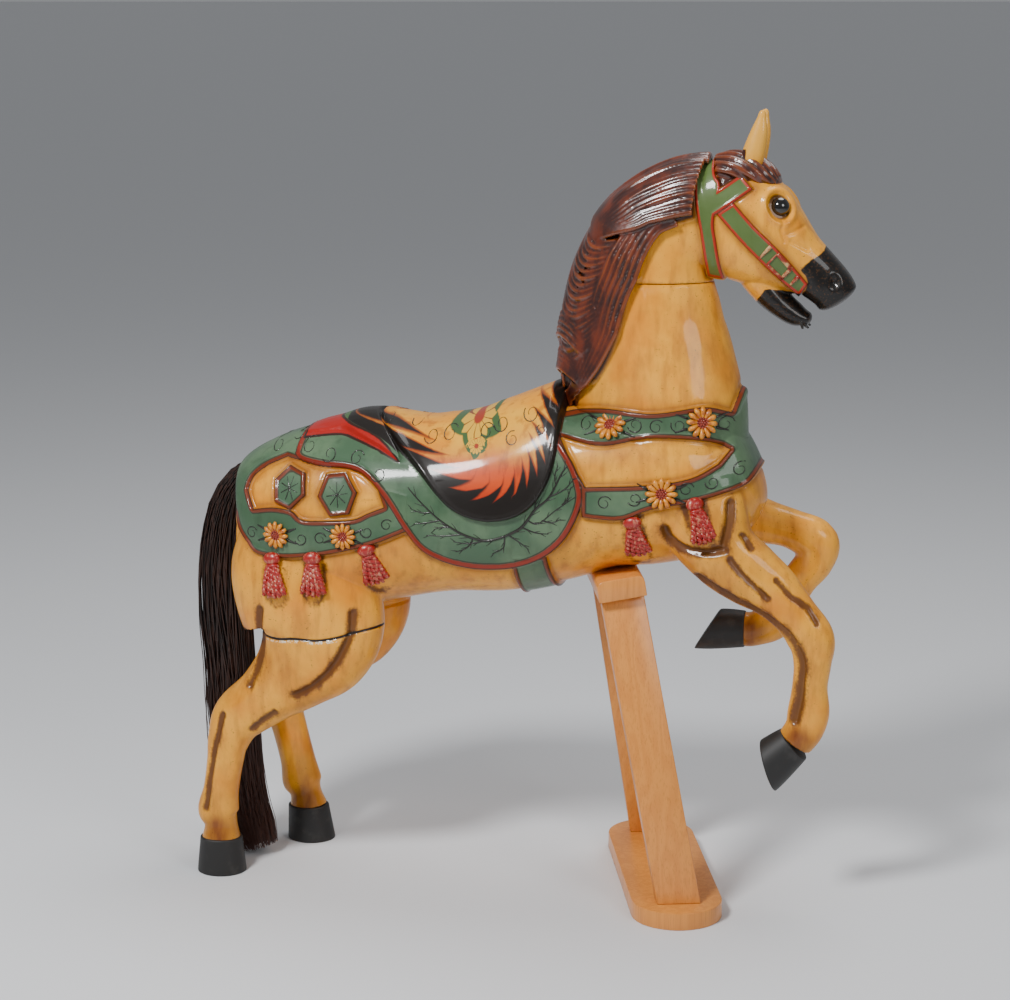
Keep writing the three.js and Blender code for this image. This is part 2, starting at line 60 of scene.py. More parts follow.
# %% From the drawing to the frame
MM = 0.001
DRAWN_FOOT = np.array([265.0, 8.0, 0.0])  # middle of the trestle's foot in the drawing
foot_low, foot_high = (np.array(corner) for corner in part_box("stand_foot"))
SHIFT = (foot_low + foot_high) / 2 * [1, 1, 0] - DRAWN_FOOT * MM


def to_frame(drawn):
    return np.asarray(drawn, float) * MM + SHIFT


def to_drawing(metres):
    return (np.asarray(metres, float) - SHIFT) / MM


print("shift in mm:", (SHIFT / MM).round(2))

# %% [markdown]
# ## Camera, floor and light
# The camera stands where the photographer stood: a little towards the head, about four metres off and
# slightly above. A long lens keeps the legs straight. A pale floor and three large soft lamps make a plain
# studio.

# %% Set the camera
AZIMUTH, ELEVATION = math.radians(12.0), math.radians(11.5)
DISTANCE, AIM_HEIGHT = 4000.0, 630.25
MM_PER_PIXEL, IMAGE_WIDTH = 1.62, 1010


def around(azimuth, elevation, distance):
    """The place that far from the aim, at those angles."""
    flat, rise = distance * math.cos(elevation), distance * math.sin(elevation)
    return np.add((0, 0, AIM_HEIGHT), (flat * math.sin(azimuth), -flat * math.cos(azimuth), rise))


bpy.ops.object.camera_add(
    location=to_frame(around(AZIMUTH, ELEVATION, DISTANCE)),
    rotation=(math.pi / 2 - ELEVATION, 0, AZIMUTH),
)
camera = bpy.context.object
camera.data.lens = camera.data.sensor_width * DISTANCE / MM_PER_PIXEL / IMAGE_WIDTH
bpy.context.scene.camera = camera
print("lens in mm:", round(camera.data.lens, 1))

# %% Lay the floor and hang the lamps
FLOOR_SIZE = 6000  # metres, so that its edge is never seen
bpy.ops.mesh.primitive_plane_add(size=FLOOR_SIZE)
floor = bpy.context.object
floor.name = "studio_floor"
floor_paint = bpy.data.materials.new("pale_floor")
floor_paint.use_nodes = True
floor_paint.node_tree.nodes["Principled BSDF"].inputs["Base Color"].default_value = (0.7, 0.71, 0.73, 1)
floor_paint.node_tree.nodes["Principled BSDF"].inputs["Roughness"].default_value = 0.9
floor.data.materials.append(floor_paint)

world = bpy.data.worlds.new("studio")
bpy.context.scene.world = world
world.use_nodes = True
world.node_tree.nodes["Background"].inputs["Color"].default_value = (0.95, 0.97, 1.0, 1)
world.node_tree.nodes["Background"].inputs["Strength"].default_value = 0.3


def soft_lamp(name, azimuth, elevation, distance, size, watts):
    azimuth, elevation = math.radians(azimuth), math.radians(elevation)
    bpy.ops.object.light_add(
        type="AREA",
        location=to_frame(around(azimuth, elevation, distance)),
        rotation=(math.pi / 2 - elevation, 0, azimuth),
    )
    lamp = bpy.context.object
    lamp.name = name
    lamp.data.shape = "DISK"
    lamp.data.size = size
    lamp.data.energy = watts


soft_lamp("key_lamp", -24, 44, 3600, 0.8, 135)
soft_lamp("fill_lamp", 48, 26, 4200, 1.6, 40)
soft_lamp("top_lamp", 150, 70, 3400, 2.0, 50)

# %% [markdown]
# ## The carver's stations
# A carver bandsaws the blocks to an outline and rounds them off. The same happens here: oval rings are strung
# along a smooth path, from stations that give the middle, the half depth and the half width in millimetres,
# and a skin is laid over the rings. Extruding a circle by hand, ring after ring, would give the same skin.

# %% Stations of the body
BARREL = [
    [x, 0, (back + belly) / 2, (back - belly) / 2, wide]
    for x, back, belly, wide in [
        (-432, 640, 470, 72), (-405, 676, 436, 108), (-350, 717, 430, 137), (-270, 745, 442, 147),
        (-180, 750, 464, 144), (-90, 752, 481, 138), (0, 766, 486, 136), (90, 792, 508, 134),
        (170, 800, 533, 132), (250, 802, 542, 127), (330, 800, 566, 112), (385, 786, 628, 80),
    ]
]
NECK = [
    (262, 0, 720, 128, 116), (250, 0, 790, 136, 104), (238, 0, 860, 132, 90), (229, 0, 930, 122, 78),
    (233, 0, 1000, 108, 70), (255, 0, 1056, 90, 64), (294, 0, 1092, 78, 60), (338, 0, 1100, 78, 56),
]
HEAD = [
    (318, 0, 1096, 80, 55), (352, 0, 1092, 91, 60), (388, 0, 1076, 88, 63), (425, 0, 1051, 73, 58),
    (459, 0, 1029, 55, 47), (491, 0, 1010, 41, 40), (515, 0, 989, 36, 38), (526, 0, 974, 34, 33),
]
JAW = [(400, 0, 1006, 28, 38), (423, 0, 977, 25, 34), (444, 0, 957, 21, 29), (464, 0, 944, 18, 26),
    (480, 0, 939, 11, 22)]
EAR = [(386, 22, 1160, 19, 15), (394, 22, 1192, 18, 14), (402, 22, 1224, 14, 10), (406, 22, 1249, 7, 5)]
LEG_OUT, ARM_OUT = 95, 82
THIGH = [
    (-318, 72, 600, 92, 48), (-322, 80, 530, 116, 62), (-311, 84, 480, 121, 64), (-297, 87, 430, 116, 60),
    (-306, 90, 387, 99, 52), (-335, 92, 348, 71, 43),
]
HIND_RIGHT = THIGH + [
    (-381, 94, 306, 51, 35), (-428, LEG_OUT, 267, 44, 28), (-447, LEG_OUT, 226, 35, 24),
    (-453, LEG_OUT, 193, 31, 21),
    (-461, LEG_OUT, 143, 30, 21), (-467, LEG_OUT, 104, 35, 23), (-463, LEG_OUT, 84, 27, 23),
    (-463, LEG_OUT, 56, 33, 29),
]
HIND_LEFT = THIGH + [
    (-376, 94, 308, 50, 35), (-413, LEG_OUT, 269, 43, 28), (-409, LEG_OUT, 228, 34, 24),
    (-400, LEG_OUT, 195, 31, 21),
    (-386, LEG_OUT, 138, 31, 21), (-379, LEG_OUT, 101, 35, 23), (-373, LEG_OUT, 82, 27, 23),
    (-368, LEG_OUT, 56, 33, 29),
]
FORE_RIGHT = [
    (318, 62, 680, 74, 44), (335, 72, 625, 72, 50), (366, 78, 577, 58, 46), (408, ARM_OUT, 546, 52, 40),
    (445, ARM_OUT, 520, 44, 34), (480, ARM_OUT, 484, 36, 29), (506, ARM_OUT, 446, 37, 29),
    (509, ARM_OUT, 408, 30, 24),
    (506, ARM_OUT, 370, 28, 21), (505, ARM_OUT, 330, 33, 23), (499, ARM_OUT, 301, 31, 24),
    (484, ARM_OUT, 278, 29, 26),
]
FORE_LEFT = [
    (318, 62, 680, 74, 44), (340, 72, 635, 62, 48), (376, 80, 606, 46, 42), (414, ARM_OUT, 596, 36, 36),
    (456, ARM_OUT, 586, 32, 31), (496, ARM_OUT, 566, 37, 30), (494, ARM_OUT, 534, 32, 26),
    (472, ARM_OUT, 503, 29, 22),
    (449, ARM_OUT, 462, 29, 21), (431, ARM_OUT, 432, 32, 24), (400, ARM_OUT, 416, 28, 26),
    (382, ARM_OUT, 415, 29, 27),
]


def smooth_path(points, count):
    """A smooth curve through the points, at that many even steps."""
    p = np.asarray(points, float)
    t = np.linspace(0, len(p) - 1, count)
    first = np.minimum(t.astype(int), len(p) - 2)
    f = (t - first)[:, None]
    a, b, c, d = (p[np.clip(first + k, 0, len(p) - 1)] for k in (-1, 0, 1, 2))
    return b + 0.5 * f * (c - a + f * (2 * a - 5 * b + 4 * c - d + f * (3 * (b - c) + d - a)))


def unit(vectors):
    return vectors / np.maximum(np.linalg.norm(vectors, axis=-1, keepdims=True), 1e-9)


def ring_axes(rows):
    """For each ring: the way along the path, the way across it and the way down its depth."""
    along = unit(np.gradient(rows[:, :3], axis=0))
    across = unit(np.array([0.0, 1.0, 0.0]) - along * along[:, 1:2])
    return along, across, np.cross(across, along)


def ring_faces(rings, sides):
    """Faces of a closed skin over that many rings, with one face on each end."""
    k, start = np.arange(sides), np.arange(rings - 1)[:, None] * sides
    ahead = (k + 1) % sides
    quads = np.stack([start + k, start + ahead, start + sides + ahead, start + sides + k], -1)
    return quads.reshape(-1, 4).tolist() + [k[::-1].tolist(), (k + (rings - 1) * sides).tolist()]


def at_places(place, *tables):
    """Rows of each table at places between its own rows."""
    return [
        np.stack([np.interp(place, np.arange(len(table)), column) for column in table.T],
        1) for table in tables
    ]


def around_rings(rows, down, across, angle, deep, wide):
    """Points around the rings' middles, at those angles, depths and widths."""
    return rows[:, :3] + down * (np.cos(angle) * deep)[:, None] + across * (np.sin(angle) * wide)[:, None]


def turned(flat, angle):
    """Flat points, turned about the origin."""
    c, s = math.cos(angle), math.sin(angle)
    return flat @ np.array([[c, s], [-s, c]])


def skin(stations, rings, sides, square=2.0, caps=(0, 0), slopes=None):
    """Points and faces of a closed skin over oval rings. Caps round the ends off by that length."""
    rows = smooth_path(stations, rings)
    along, across, down = ring_axes(rows)
    if slopes:
        tilt = np.radians(np.linspace(*slopes, rings))
        down = np.stack([np.cos(tilt), 0 * tilt, np.sin(tilt)], 1)
        across = np.tile([0.0, 1.0, 0.0], (rings, 1))
        down *= np.sign((np.cross(down, across) * along).sum(1, keepdims=True))
    push, scale, pick = np.zeros(rings), np.ones(rings), np.arange(rings)
    steps = np.sin(np.linspace(0.25, 1.5, 6))
    for end, cap in enumerate(caps):
        if cap:
            order = steps[::-1] if end == 0 else steps
            side = -1 if end == 0 else 1
            extra = (side * cap * order, np.sqrt(1 - order**2), np.full(6, 0 if end == 0 else rings - 1))
            push, scale, pick = (
                np.concatenate([e, old] if end == 0 else [old, e]) for e,
                old in zip(extra, (push, scale, pick))
            )
    turn = 2 * np.pi * np.arange(sides) / sides
    cosine, sine = (np.sign(v) * np.abs(v) ** (2 / square) for v in (np.cos(turn), np.sin(turn)))
    rows, along, across, down = rows[pick], along[pick], across[pick], down[pick]
    points = (
        (rows[:, :3] + along * push[:, None])[:, None]
        + down[:, None] * (cosine * (rows[:, 3] * scale)[:, None])[..., None]
        + across[:, None] * (sine * (rows[:, 4] * scale)[:, None])[..., None]
    ).reshape(-1, 3)
    return points, ring_faces(len(rows), sides)


def mirrored(stations, side):
    return [(x, side * y, *rest) for x, y, *rest in stations]


def piece(name, parts):
    """One object out of several skins, given in the drawing's millimetres."""
    points, faces = [], []
    for part_points, part_faces in parts:
        start = sum(len(p) for p in points)
        points.append(part_points)
        faces += [[start + i for i in face] for face in part_faces]
    mesh = bpy.data.meshes.new(name)
    mesh.from_pydata(to_frame(np.concatenate(points)).tolist(), [], faces)
    obj = bpy.data.objects.new(name, mesh)
    bpy.context.collection.objects.link(obj)
    return obj


def select_only(obj):
    bpy.ops.object.select_all(action="DESELECT")
    obj.select_set(True)
    bpy.context.view_layer.objects.active = obj


def finish_with(obj, kind, **settings):
    """Adds a modifier with those settings and applies it."""
    select_only(obj)
    bpy.ops.object.modifier_add(type=kind)
    modifier = obj.modifiers[-1]
    for name, value in settings.items():
        setattr(modifier, name, value)
    bpy.ops.object.modifier_apply(modifier=modifier.name)
    return obj


legs = [skin(mirrored(row, side), 8 * len(row), 40, 2.15) for row, side in
        [(HIND_RIGHT, -1), (HIND_LEFT, 1), (FORE_RIGHT, -1), (FORE_LEFT, 1)]]
neck = skin(NECK, 80, 64)
body = piece("horse_body", [skin(BARREL, 120, 72, 2.3, (9, 22)), neck, *legs])
head = piece("horse_head", [
    neck,
    skin(HEAD, 80, 56, 2.5, (0, 12)),
    skin(JAW, 40, 40, 2.0, (0, 8)),
    *[skin(mirrored(EAR, side), 30, 24, 2.0, (0, 12)) for side in (-1, 1)],
])
print("blocks:", body.name, len(body.data.vertices), head.name, len(head.data.vertices))

# %% [markdown]
# ## Glueing and sanding
# The blocks still run through one another. A voxel remesh turns them into one closed skin of even little
# squares, as glue and a rasp would, and a smooth modifier sands the inner corners. Small squares are needed,
# because the carving that follows is only a few millimetres deep.

# %% Join the blocks
BODY_GRAIN, HEAD_GRAIN = 2.1, 1.6  # side of the little squares in mm
for block, grain, passes in ((body, BODY_GRAIN, 14), (head, HEAD_GRAIN, 12)):
    finish_with(block, "REMESH", mode="VOXEL", voxel_size=grain * MM, adaptivity=0.0)
    finish_with(block, "SMOOTH", factor=0.5, iterations=passes)
    print(block.name, "faces:", len(block.data.polygons))

# %% [markdown]
# ## Where things lie
# Saddle, blanket and straps are flat shapes in side view, so each is kept as an outline of X and Z. The
# distance of a point from an outline, negative inside, tells both how far the carving rises there and which
# colour the painter used. Lines such as grooves and twigs work the same way, with a plain distance.

# %% Outlines in side view
BLANKET = [
    [(-323, 714), (-311, 703), (-270, 697), (-229, 695), (-202, 687), (-176, 666), (-155, 640), (-135, 609),
     (-109, 575), (-77, 556), (-36, 545), (4, 543), (44, 548), (84, 564), (116, 590), (138, 623),
     (152, 663),
     (147, 694), (134, 722), (112, 750)],
    [(112, 870), (-323, 870)],
]
SADDLE_REAR = [(-318, 764), (-273, 766), (-232, 757), (-183, 742)]
SADDLE = [
    [*SADDLE_REAR, (-148, 722), (-112, 694), (-84, 665), (-58, 642), (-30, 629), (2, 624), (38, 630),
    (68, 647), (90, 675), (104, 710), (110, 760), (112, 860)],
    [(60, 900), (-318, 880)],
]
CANTLE = [
    [*SADDLE_REAR, (-151, 718), (-143, 704)],
    [(-183, 722), (-224, 734), (-257, 740), (-318, 732)],
]
BREAST = [
    [(104, 789), (176, 801), (254, 798), (332, 808), (372, 797)],
    [(378, 816), (388, 856)],
    [(460, 870), (460, 725)],
    [(424, 722), (403, 690), (365, 676), (319, 663), (257, 651), (210, 633), (150, 636)],
    [(150, 684), (104, 752)],
]
BREAST_PANEL = [
    [(112, 756), (178, 746), (256, 760), (333, 756), (373, 741)],
    [(357, 721), (318, 701), (256, 690), (156, 684)],
]
HIP = [
    [(-126, 604), (-177, 582), (-221, 569), (-265, 559), (-290, 555), (-336, 550), (-380, 553), (-400, 570),
     (-416, 590),
     (-424, 612)],
    [(-470, 625), (-470, 690), (-340, 790), (-300, 790)],
    [(-300, 700), (-126, 660)],
]
HIP_PANEL = [
    [(-165, 640), (-190, 630), (-215, 619), (-264, 615), (-298, 615), (-317, 628), (-350, 631),
     (-385, 625)],
    [(-399, 652), (-392, 672), (-370, 690), (-336, 706)],
    [(-311, 703), (-270, 697), (-229, 695), (-202, 687), (-176, 666)],
]
GIRTH = [[(36, 570), (46, 400)], [(112, 400), (92, 570)]]
HEXAGONS = [((-322, 663), (30, 36), -20), ((-241, 657), (33, 38), 8)]
CROWN = [
    [(306, 1230), (307, 1155), (310, 1121), (317, 1083), (323, 1043), (328, 1004)],
    [(355, 1001), (350, 1024), (344, 1061), (340, 1093), (348, 1145), (338, 1166), (331, 1230)],
]
BROW = [[(311, 1121), (341, 1137), (378, 1163)], [(398, 1141), (361, 1115), (316, 1085)]]
CHEEK = [
    [(344, 1103), (370, 1121)],
    [(402, 1086), (435, 1054), (460, 1026), (484, 997)],
    [(470, 977), (440, 1004), (410, 1033), (378, 1066)],
]
MANE = [
    [(308, 1098), (243, 1069), (215, 999), (196, 921), (166, 852), (124, 822)],
    [(50, 806), (20, 900), (40, 1010), (150, 1200), (308, 1230)],
]
MUZZLE = [
    [(520, 1066), (499, 1041), (486, 1030), (473, 1018), (483, 1003), (474, 982), (440, 986), (417, 986)],
    [(405, 970), (405, 900), (600, 900), (600, 1066)],
]
FAR = 60.0  # beyond this many millimetres a distance no longer matters


def outline(runs):
    """Runs of points as one closed outline, smooth along each run."""
    return np.concatenate([
        smooth_path(run, 4 * len(run)) if len(run) > 2 else np.array(run, float) for run in runs
    ])


def hexagon(middle, half, turn):
    angle = np.arange(6) * math.pi / 3
    corner = np.stack([half[0] * np.cos(angle), half[1] * np.sin(angle)], 1)
    return turned(corner, math.radians(turn)) + middle


def near(flat, points):
    """Which of the flat points lie close enough to matter."""
    return ((flat > points.min(0) - FAR) & (flat < points.max(0) + FAR)).all(1)


def to_segments(flat, starts, ends):
    best = np.full(len(flat), FAR**2)
    for p, q in zip(starts, ends):
        edge, away = q - p, flat - p
        t = np.clip(away @ edge / max(edge @ edge, 1e-9), 0, 1)
        best = np.minimum(best, ((away - t[:, None] * edge) ** 2).sum(1))
    return np.sqrt(best)


def inside(flat, corners):
    crossings = np.zeros(len(flat), bool)
    for (px, pz), (qx, qz) in zip(corners, np.roll(corners, -1, 0)):
        straddles = (pz <= flat[:, 1]) != (qz <= flat[:, 1])
        reach = px + (flat[:, 1] - pz) * (qx - px) / (qz - pz if qz != pz else 1e-9)
        crossings ^= straddles & (flat[:, 0] < reach)
    return crossings


def field(flat, corners):
    """Distance to a closed outline, negative inside."""
    result = np.full(len(flat), FAR)
    chosen = near(flat, corners)
    some = flat[chosen]
    result[chosen] = to_segments(some, corners, np.roll(corners, -1, 0)) * np.where(inside(some, corners),
        -1, 1)
    return result


def line(flat, points):
    """Distance to an open line."""
    result = np.full(len(flat), FAR)
    points = np.asarray(points, float)
    chosen = near(flat, points)
    result[chosen] = to_segments(flat[chosen], points[:-1], points[1:])
    return result


def harness_field(flat):
    breast = np.maximum(field(flat, outline(BREAST)), -field(flat, outline(BREAST_PANEL)))
    hip = np.maximum(field(flat, outline(HIP)), -field(flat, outline(HIP_PANEL)))
    plaques = [field(flat, hexagon(*each)) for each in HEXAGONS]
    return np.minimum.reduce([breast, hip, field(flat, outline(GIRTH)), *plaques])


def bridle_field(flat):
    return np.minimum.reduce([field(flat, outline(each)) for each in (CROWN, BROW, CHEEK)])


print("corners of the saddle:", len(outline(SADDLE)))

# %% Lines: leg grooves, creases and cracks
# Each groove: side of the horse, half width, depth, points x and z.
GROOVES = [
    (-1, 6, 4, [(-374, 462), (-377, 429), (-379, 388), (-387, 356), (-398, 330)]),
    (-1, 7, 5, [(-221, 462), (-223, 432), (-235, 404), (-251, 376), (-273, 351), (-294, 334), (-320, 320)]),
    (-1, 5, 3, [(-358, 287), (-379, 271), (-399, 254)]),
    (-1, 5, 4, [(-447, 276), (-457, 242), (-467, 203), (-475, 160), (-481, 112)]),
    (1, 5, 4, [(-411, 230), (-405, 171), (-396, 135), (-392, 90)]),
    (1, 7, 5, [(-221, 462), (-235, 404), (-273, 351), (-320, 320)]),
    (-1, 7, 6, [(378, 662), (377, 631), (371, 600)]),
    (-1, 8, 7, [(279, 618), (287, 600), (315, 587), (345, 586), (371, 592)]),
    (-1, 5, 4, [(382, 576), (400, 554), (424, 531), (440, 516)]),
    (-1, 7, 5,
    [(330, 543), (364, 524), (397, 506), (427, 490), (454, 472), (474, 456), (487, 436), (496, 410),
                (495, 379), (493, 352), (486, 319)]),
    (-1, 4, 3, [(397, 613), (413, 592)]),
    (-1, 4, 2, [(452, 545), (472, 522), (498, 503), (515, 477)]),
    (1, 5, 4, [(400, 622), (447, 607), (485, 598), (522, 590)]),
    (1, 6, 5, [(430, 566), (462, 545), (440, 505)]),
    (1, 5, 3, [(520, 544), (500, 500), (470, 455)]),
]
FACE_CREASES = [
    (3, 2.5, [(446, 1092), (443, 1079), (449, 1063)]),
    (3, 2, [(458, 1062), (470, 1055), (482, 1049)]),
    (3, 1.5, [(449, 1072), (460, 1076), (474, 1084)]),
]
THIGH_CRACK = [(-412, 420), (-375, 416), (-345, 414), (-316, 417), (-280, 416), (-249, 421), (-212, 431),
    (-176, 437)]
print("grooves:", len(GROOVES))

# %% [markdown]
# ## Carving the relief
# Each layer lifts the skin along its own normals: the blanket a little, the saddle more, with a rise towards
# cantle and pommel, the straps with a rounded bead along both edges. Grooves and cracks sink it. A displace
# modifier could do it with a texture. Moving the points by formula keeps every edge at its true size.

# %% Carve
BLANKET_RISE, SADDLE_RISE, CANTLE_RISE = 6.0, 14.0, 9.0
HARNESS_RISE, BRIDLE_RISE, MANE_RISE = 5.0, 4.0, 10.0
SEAT_TOP = [(-330, 748), (-296, 774), (-250, 784), (-180, 773), (-108, 768), (-8, 786), (60, 812),
    (125, 850)]
CURL_MOUTHS = [(128, 894), (132, 851)]  # hollows in the mane's lowest curls
EYE_AT, EYE_RADIUS, NOSTRIL_AT = np.array([438.0, 1114.0]), 15.5, np.array([524.0, 1000.0])
LID_LONG, LID_SHORT = np.array([0.5, -0.86]) / 27, np.array([0.86,
    0.5]) / 19  # the ways the eye's corners lie


def soft_step(distance, width):
    """One inside an outline, none outside, with a slope of that width on its edge."""
    t = np.clip(0.5 - distance / width, 0, 1)
    return t * t * (3 - 2 * t)


def ridge(distance, at, half):
    return np.exp(-(((distance - at) / half) ** 2))


def points_of(obj):
    flat = np.empty(len(obj.data.vertices) * 3, np.float32)
    obj.data.vertices.foreach_get("co", flat)
    return to_drawing(flat.reshape(-1, 3))


def normals_of(obj):
    flat = np.empty(len(obj.data.vertices) * 3, np.float32)
    obj.data.vertex_normals.foreach_get("vector", flat)
    return flat.reshape(-1, 3).astype(float)


def move_points(obj, drawn):
    obj.data.vertices.foreach_set("co", to_frame(drawn).astype(np.float32).ravel())
    obj.data.update()


def groove_depths(points, normals):
    """How deep the grooves cut, and how far the brown staining in them reaches."""
    depth, stain_and_shadow = np.zeros(len(points)), np.zeros(len(points))
    for side, half, deep, path in GROOVES:
        away = line(points[:, [0, 2]], smooth_path(path, 6 * len(path)))
        facing = np.clip(side * normals[:, 1] * 3, 0, 1) * (side * points[:, 1] > 0)
        depth = np.maximum(depth, 1.2 * deep * ridge(away, 0, 0.8 * half) * facing)
        stain_and_shadow = np.maximum(stain_and_shadow, ridge(away, 0, half * 1.5) * facing)
    return depth, stain_and_shadow


def lid_reach(flat):
    """One on the rim of the eye's lids, less inside."""
    return np.hypot((flat - EYE_AT) @ LID_LONG, (flat - EYE_AT) @ LID_SHORT)


def carve_body(points, normals):
    flat = points[:, [0, 2]]
    blanket, saddle, cantle, harness, mane = (
        field(flat, outline(BLANKET)), field(flat, outline(SADDLE)), field(flat, outline(CANTLE)),
        harness_field(flat), field(flat, outline(MANE)),
    )
    back = np.interp(points[:, 0], [row[0] for row in BARREL], [row[2] + row[3] for row in BARREL])
    seat = np.interp(points[:, 0], *np.transpose(smooth_path(SEAT_TOP, 60))) - back
    crown = np.clip(1 - (points[:, 1] / 125) ** 2, 0, 1)
    upward = np.clip(normals[:, 2] * 1.6 - 0.3, 0, 1) * np.clip((116 - points[:, 0]) / 25, 0, 1)
    seat_rise = SADDLE_RISE + np.clip(seat - SADDLE_RISE, 0, None) * crown * upward
    under = np.clip(saddle / 26, 0, 1)
    height = np.maximum.reduce([
        BLANKET_RISE * soft_step(blanket, 4) + 2.6 * ridge(blanket, -5, 3),
        HARNESS_RISE * soft_step(harness, 3) + 2.4 * ridge(harness, -3.5, 2.4),
        (seat_rise * (1 - under) + CANTLE_RISE * under) * soft_step(cantle, 3),
        seat_rise * soft_step(saddle, 5) + 1.5 * ridge(saddle, -4, 4),
        MANE_RISE * soft_step(mane, 10),
    ])
    border = np.minimum.reduce([blanket, harness, saddle])
    depth, _ = groove_depths(points, normals)
    flank = np.clip(-normals[:, 1] * 3, 0, 1)
    crack = 4 * ridge(line(flat, smooth_path(THIGH_CRACK, 40)), 0, 1.8) * flank
    mouths = sum(ridge(np.hypot(*((flat - at) / [22, 7]).T), 0, 0.8) for at in CURL_MOUTHS)
    return height - 1.6 * ridge(border, 3.0, 2.2) - depth - crack - 9 * mouths


def carve_head(points, normals):
    flat = points[:, [0, 2]]
    bridle, mane = bridle_field(flat), field(flat, outline(MANE))
    height = np.maximum(
        BRIDLE_RISE * soft_step(bridle, 3) + 1.3 * ridge(bridle, -3, 2), MANE_RISE * soft_step(mane, 10)
    )
    lid = lid_reach(flat)
    cheek = np.abs(normals[:, 1]) > 0.25
    height += cheek * (3.2 * ridge(lid, 1.0, 0.2) - 6.5 * soft_step(lid - 0.8, 0.35))
    for half, deep, path in FACE_CREASES:
        height -= deep * ridge(line(flat, smooth_path(path, 20)), 0, half)
    nostril = np.hypot(*((flat - NOSTRIL_AT) / [8, 11]).T)
    height += (np.abs(points[:, 1]) > 12) * (1 * ridge(nostril, 1.4, 0.5) - 6 * ridge(nostril, 0, 0.8))
    return height - ridge(bridle, 2.5, 2)


for block, carving in ((body, carve_body), (head, carve_head)):
    drawn, normals = points_of(block), normals_of(block)
    move_points(block, drawn + normals * carving(drawn, normals)[:, None])
    finish_with(block, "SMOOTH", factor=0.5, iterations=1)
    print(block.name, "carved")

# %% [markdown]
# ## The joint in the neck
# The head and the upper neck are a block of their own on the real horse: the joint has opened into a crack.
# A bisect cuts both halves along it and fills the cut, so that the crack is a true gap between two skins.

# %% Cut at the neck's joint
JOINT_HEIGHT, JOINT_GAP = 994.0, 0.9
NECK_FRONT, CHIN_LOW = 365.0, 905.0  # the neck lies behind the one or below the other


def saw(obj, height, keep_above):
    """Cuts only the neck, so that the jaw, which hangs lower than the joint, stays whole."""
    select_only(obj)
    bpy.ops.object.mode_set(mode="EDIT")
    bpy.ops.mesh.select_mode(type="FACE")
    bpy.ops.mesh.select_all(action="DESELECT")
    bpy.ops.object.mode_set(mode="OBJECT")
    centres = np.empty(len(obj.data.polygons) * 3, np.float32)
    obj.data.polygons.foreach_get("center", centres)
    x, _, z = to_drawing(centres.reshape(-1, 3)).T
    obj.data.polygons.foreach_set("select", (x < NECK_FRONT) | (z < CHIN_LOW))
    bpy.ops.object.mode_set(mode="EDIT")
    bpy.ops.mesh.bisect(
        plane_co=to_frame((0, 0, height)), plane_no=(0, 0, 1), use_fill=True,
        clear_inner=keep_above, clear_outer=not keep_above,
    )
    bpy.ops.object.mode_set(mode="OBJECT")


saw(head, JOINT_HEIGHT + JOINT_GAP, True)
saw(body, JOINT_HEIGHT - JOINT_GAP, False)
print("faces:", len(body.data.polygons), len(head.data.polygons))

# %% [markdown]
# ## Paint by distance
# The painter followed the carved outlines, so each point of the skin remembers its distance to them. The
# material reads these numbers as attributes and turns them into colours with sharp edges. Twigs and curls
# are lines, and they are stored as a distance too.

# %% Store the distances
TWIGS = [
    [(29, 601), (-2, 593), (-38, 602), (-74, 623), (-104, 649), (-127, 672)],
    [(-38, 602), (-68, 598), (-96, 598)], [(-2, 593), (-29, 587), (-53, 589)],
    [(-74, 623), (-96, 618), (-116, 616)], [(-20, 597), (-32, 580), (-50, 572)],
    [(-56, 612), (-70, 612), (-84, 608)], [(-88, 635), (-104, 634), (-122, 640)],
    [(29, 601), (56, 617), (77, 645), (100, 667), (118, 703), (127, 716)],
    [(66, 628), (83, 624), (110, 646), (142, 669)], [(56, 617), (77, 609), (98, 607)],
    [(100, 667), (124, 680), (139, 698)], [(77, 645), (80, 663), (91, 684)],
    [(88, 629), (104, 626), (118, 632)], [(29, 601), (26, 582), (8, 571)],
    [(36, 603), (52, 592), (66, 580)],
    [(110, 686), (108, 700), (112, 716)], [(120, 655), (128, 664), (134, 684)],
]
# Each curl: its middle, its size and its turn in degrees.
CURLS = [
    ((150, 776), 12, 20), ((229, 780), 13, 200), ((262, 778), 12, 40), ((296, 781), 12, 160),
    ((364, 780), 13, 10),
    ((404, 760), 15, 80), ((420, 790), 13, 200), ((186, 660), 12, 30), ((233, 668), 12, 210),
    ((312, 684), 12, 20),
    ((350, 694), 11, 180), ((390, 712), 12, 60), ((-388, 586), 11, 30), ((-300, 584), 11, 200),
    ((-268, 586), 11, 20),
    ((-192, 600), 11, 150), ((-160, 612), 10, 40), ((-300, 725), 13, 60), ((-262, 716), 12, 220),
    ((-216, 712), 12, 20),
    ((-176, 690), 12, 190), ((-360, 720), 12, 70), ((-330, 742), 13, 240),
]
SADDLE_CURLS = [
    ((-9, 759), 13, 30), ((14, 772), 13, 200), ((36, 752), 12, 80), ((62, 790), 14, 160),
    ((-133, 766), 13, 20),
    ((-100, 748), 12, 200), ((-70, 752), 13, 40), ((-180, 768), 12, 20), ((82, 768), 8, 120),
]
TUFT = [(331, 1200), (338, 1166), (347, 1142), (382, 1164), (384, 1200)]  # hair between the straps
TASSELS = [((228, 634), 8), ((322, 663), 16), ((-350, 551), 6), ((-281, 558), 0),
    ((-196, 574), 12)]  # place, sway
TASSEL_LONG = 66
PAINTED_FLOWERS = [((-30, 776), 30), ((-22, 738), 12), ((-276, 742), 24)]  # middle and radius
PASTERNS, PASTERN_RADIUS = [(-463, 72), (-370, 70), (490, 283), (392, 415)], 27
CHIPS_AT, CHIPS_HALF, CHIPS_TOP = -307, 64, 418  # where the paint has come off below the thigh's crack
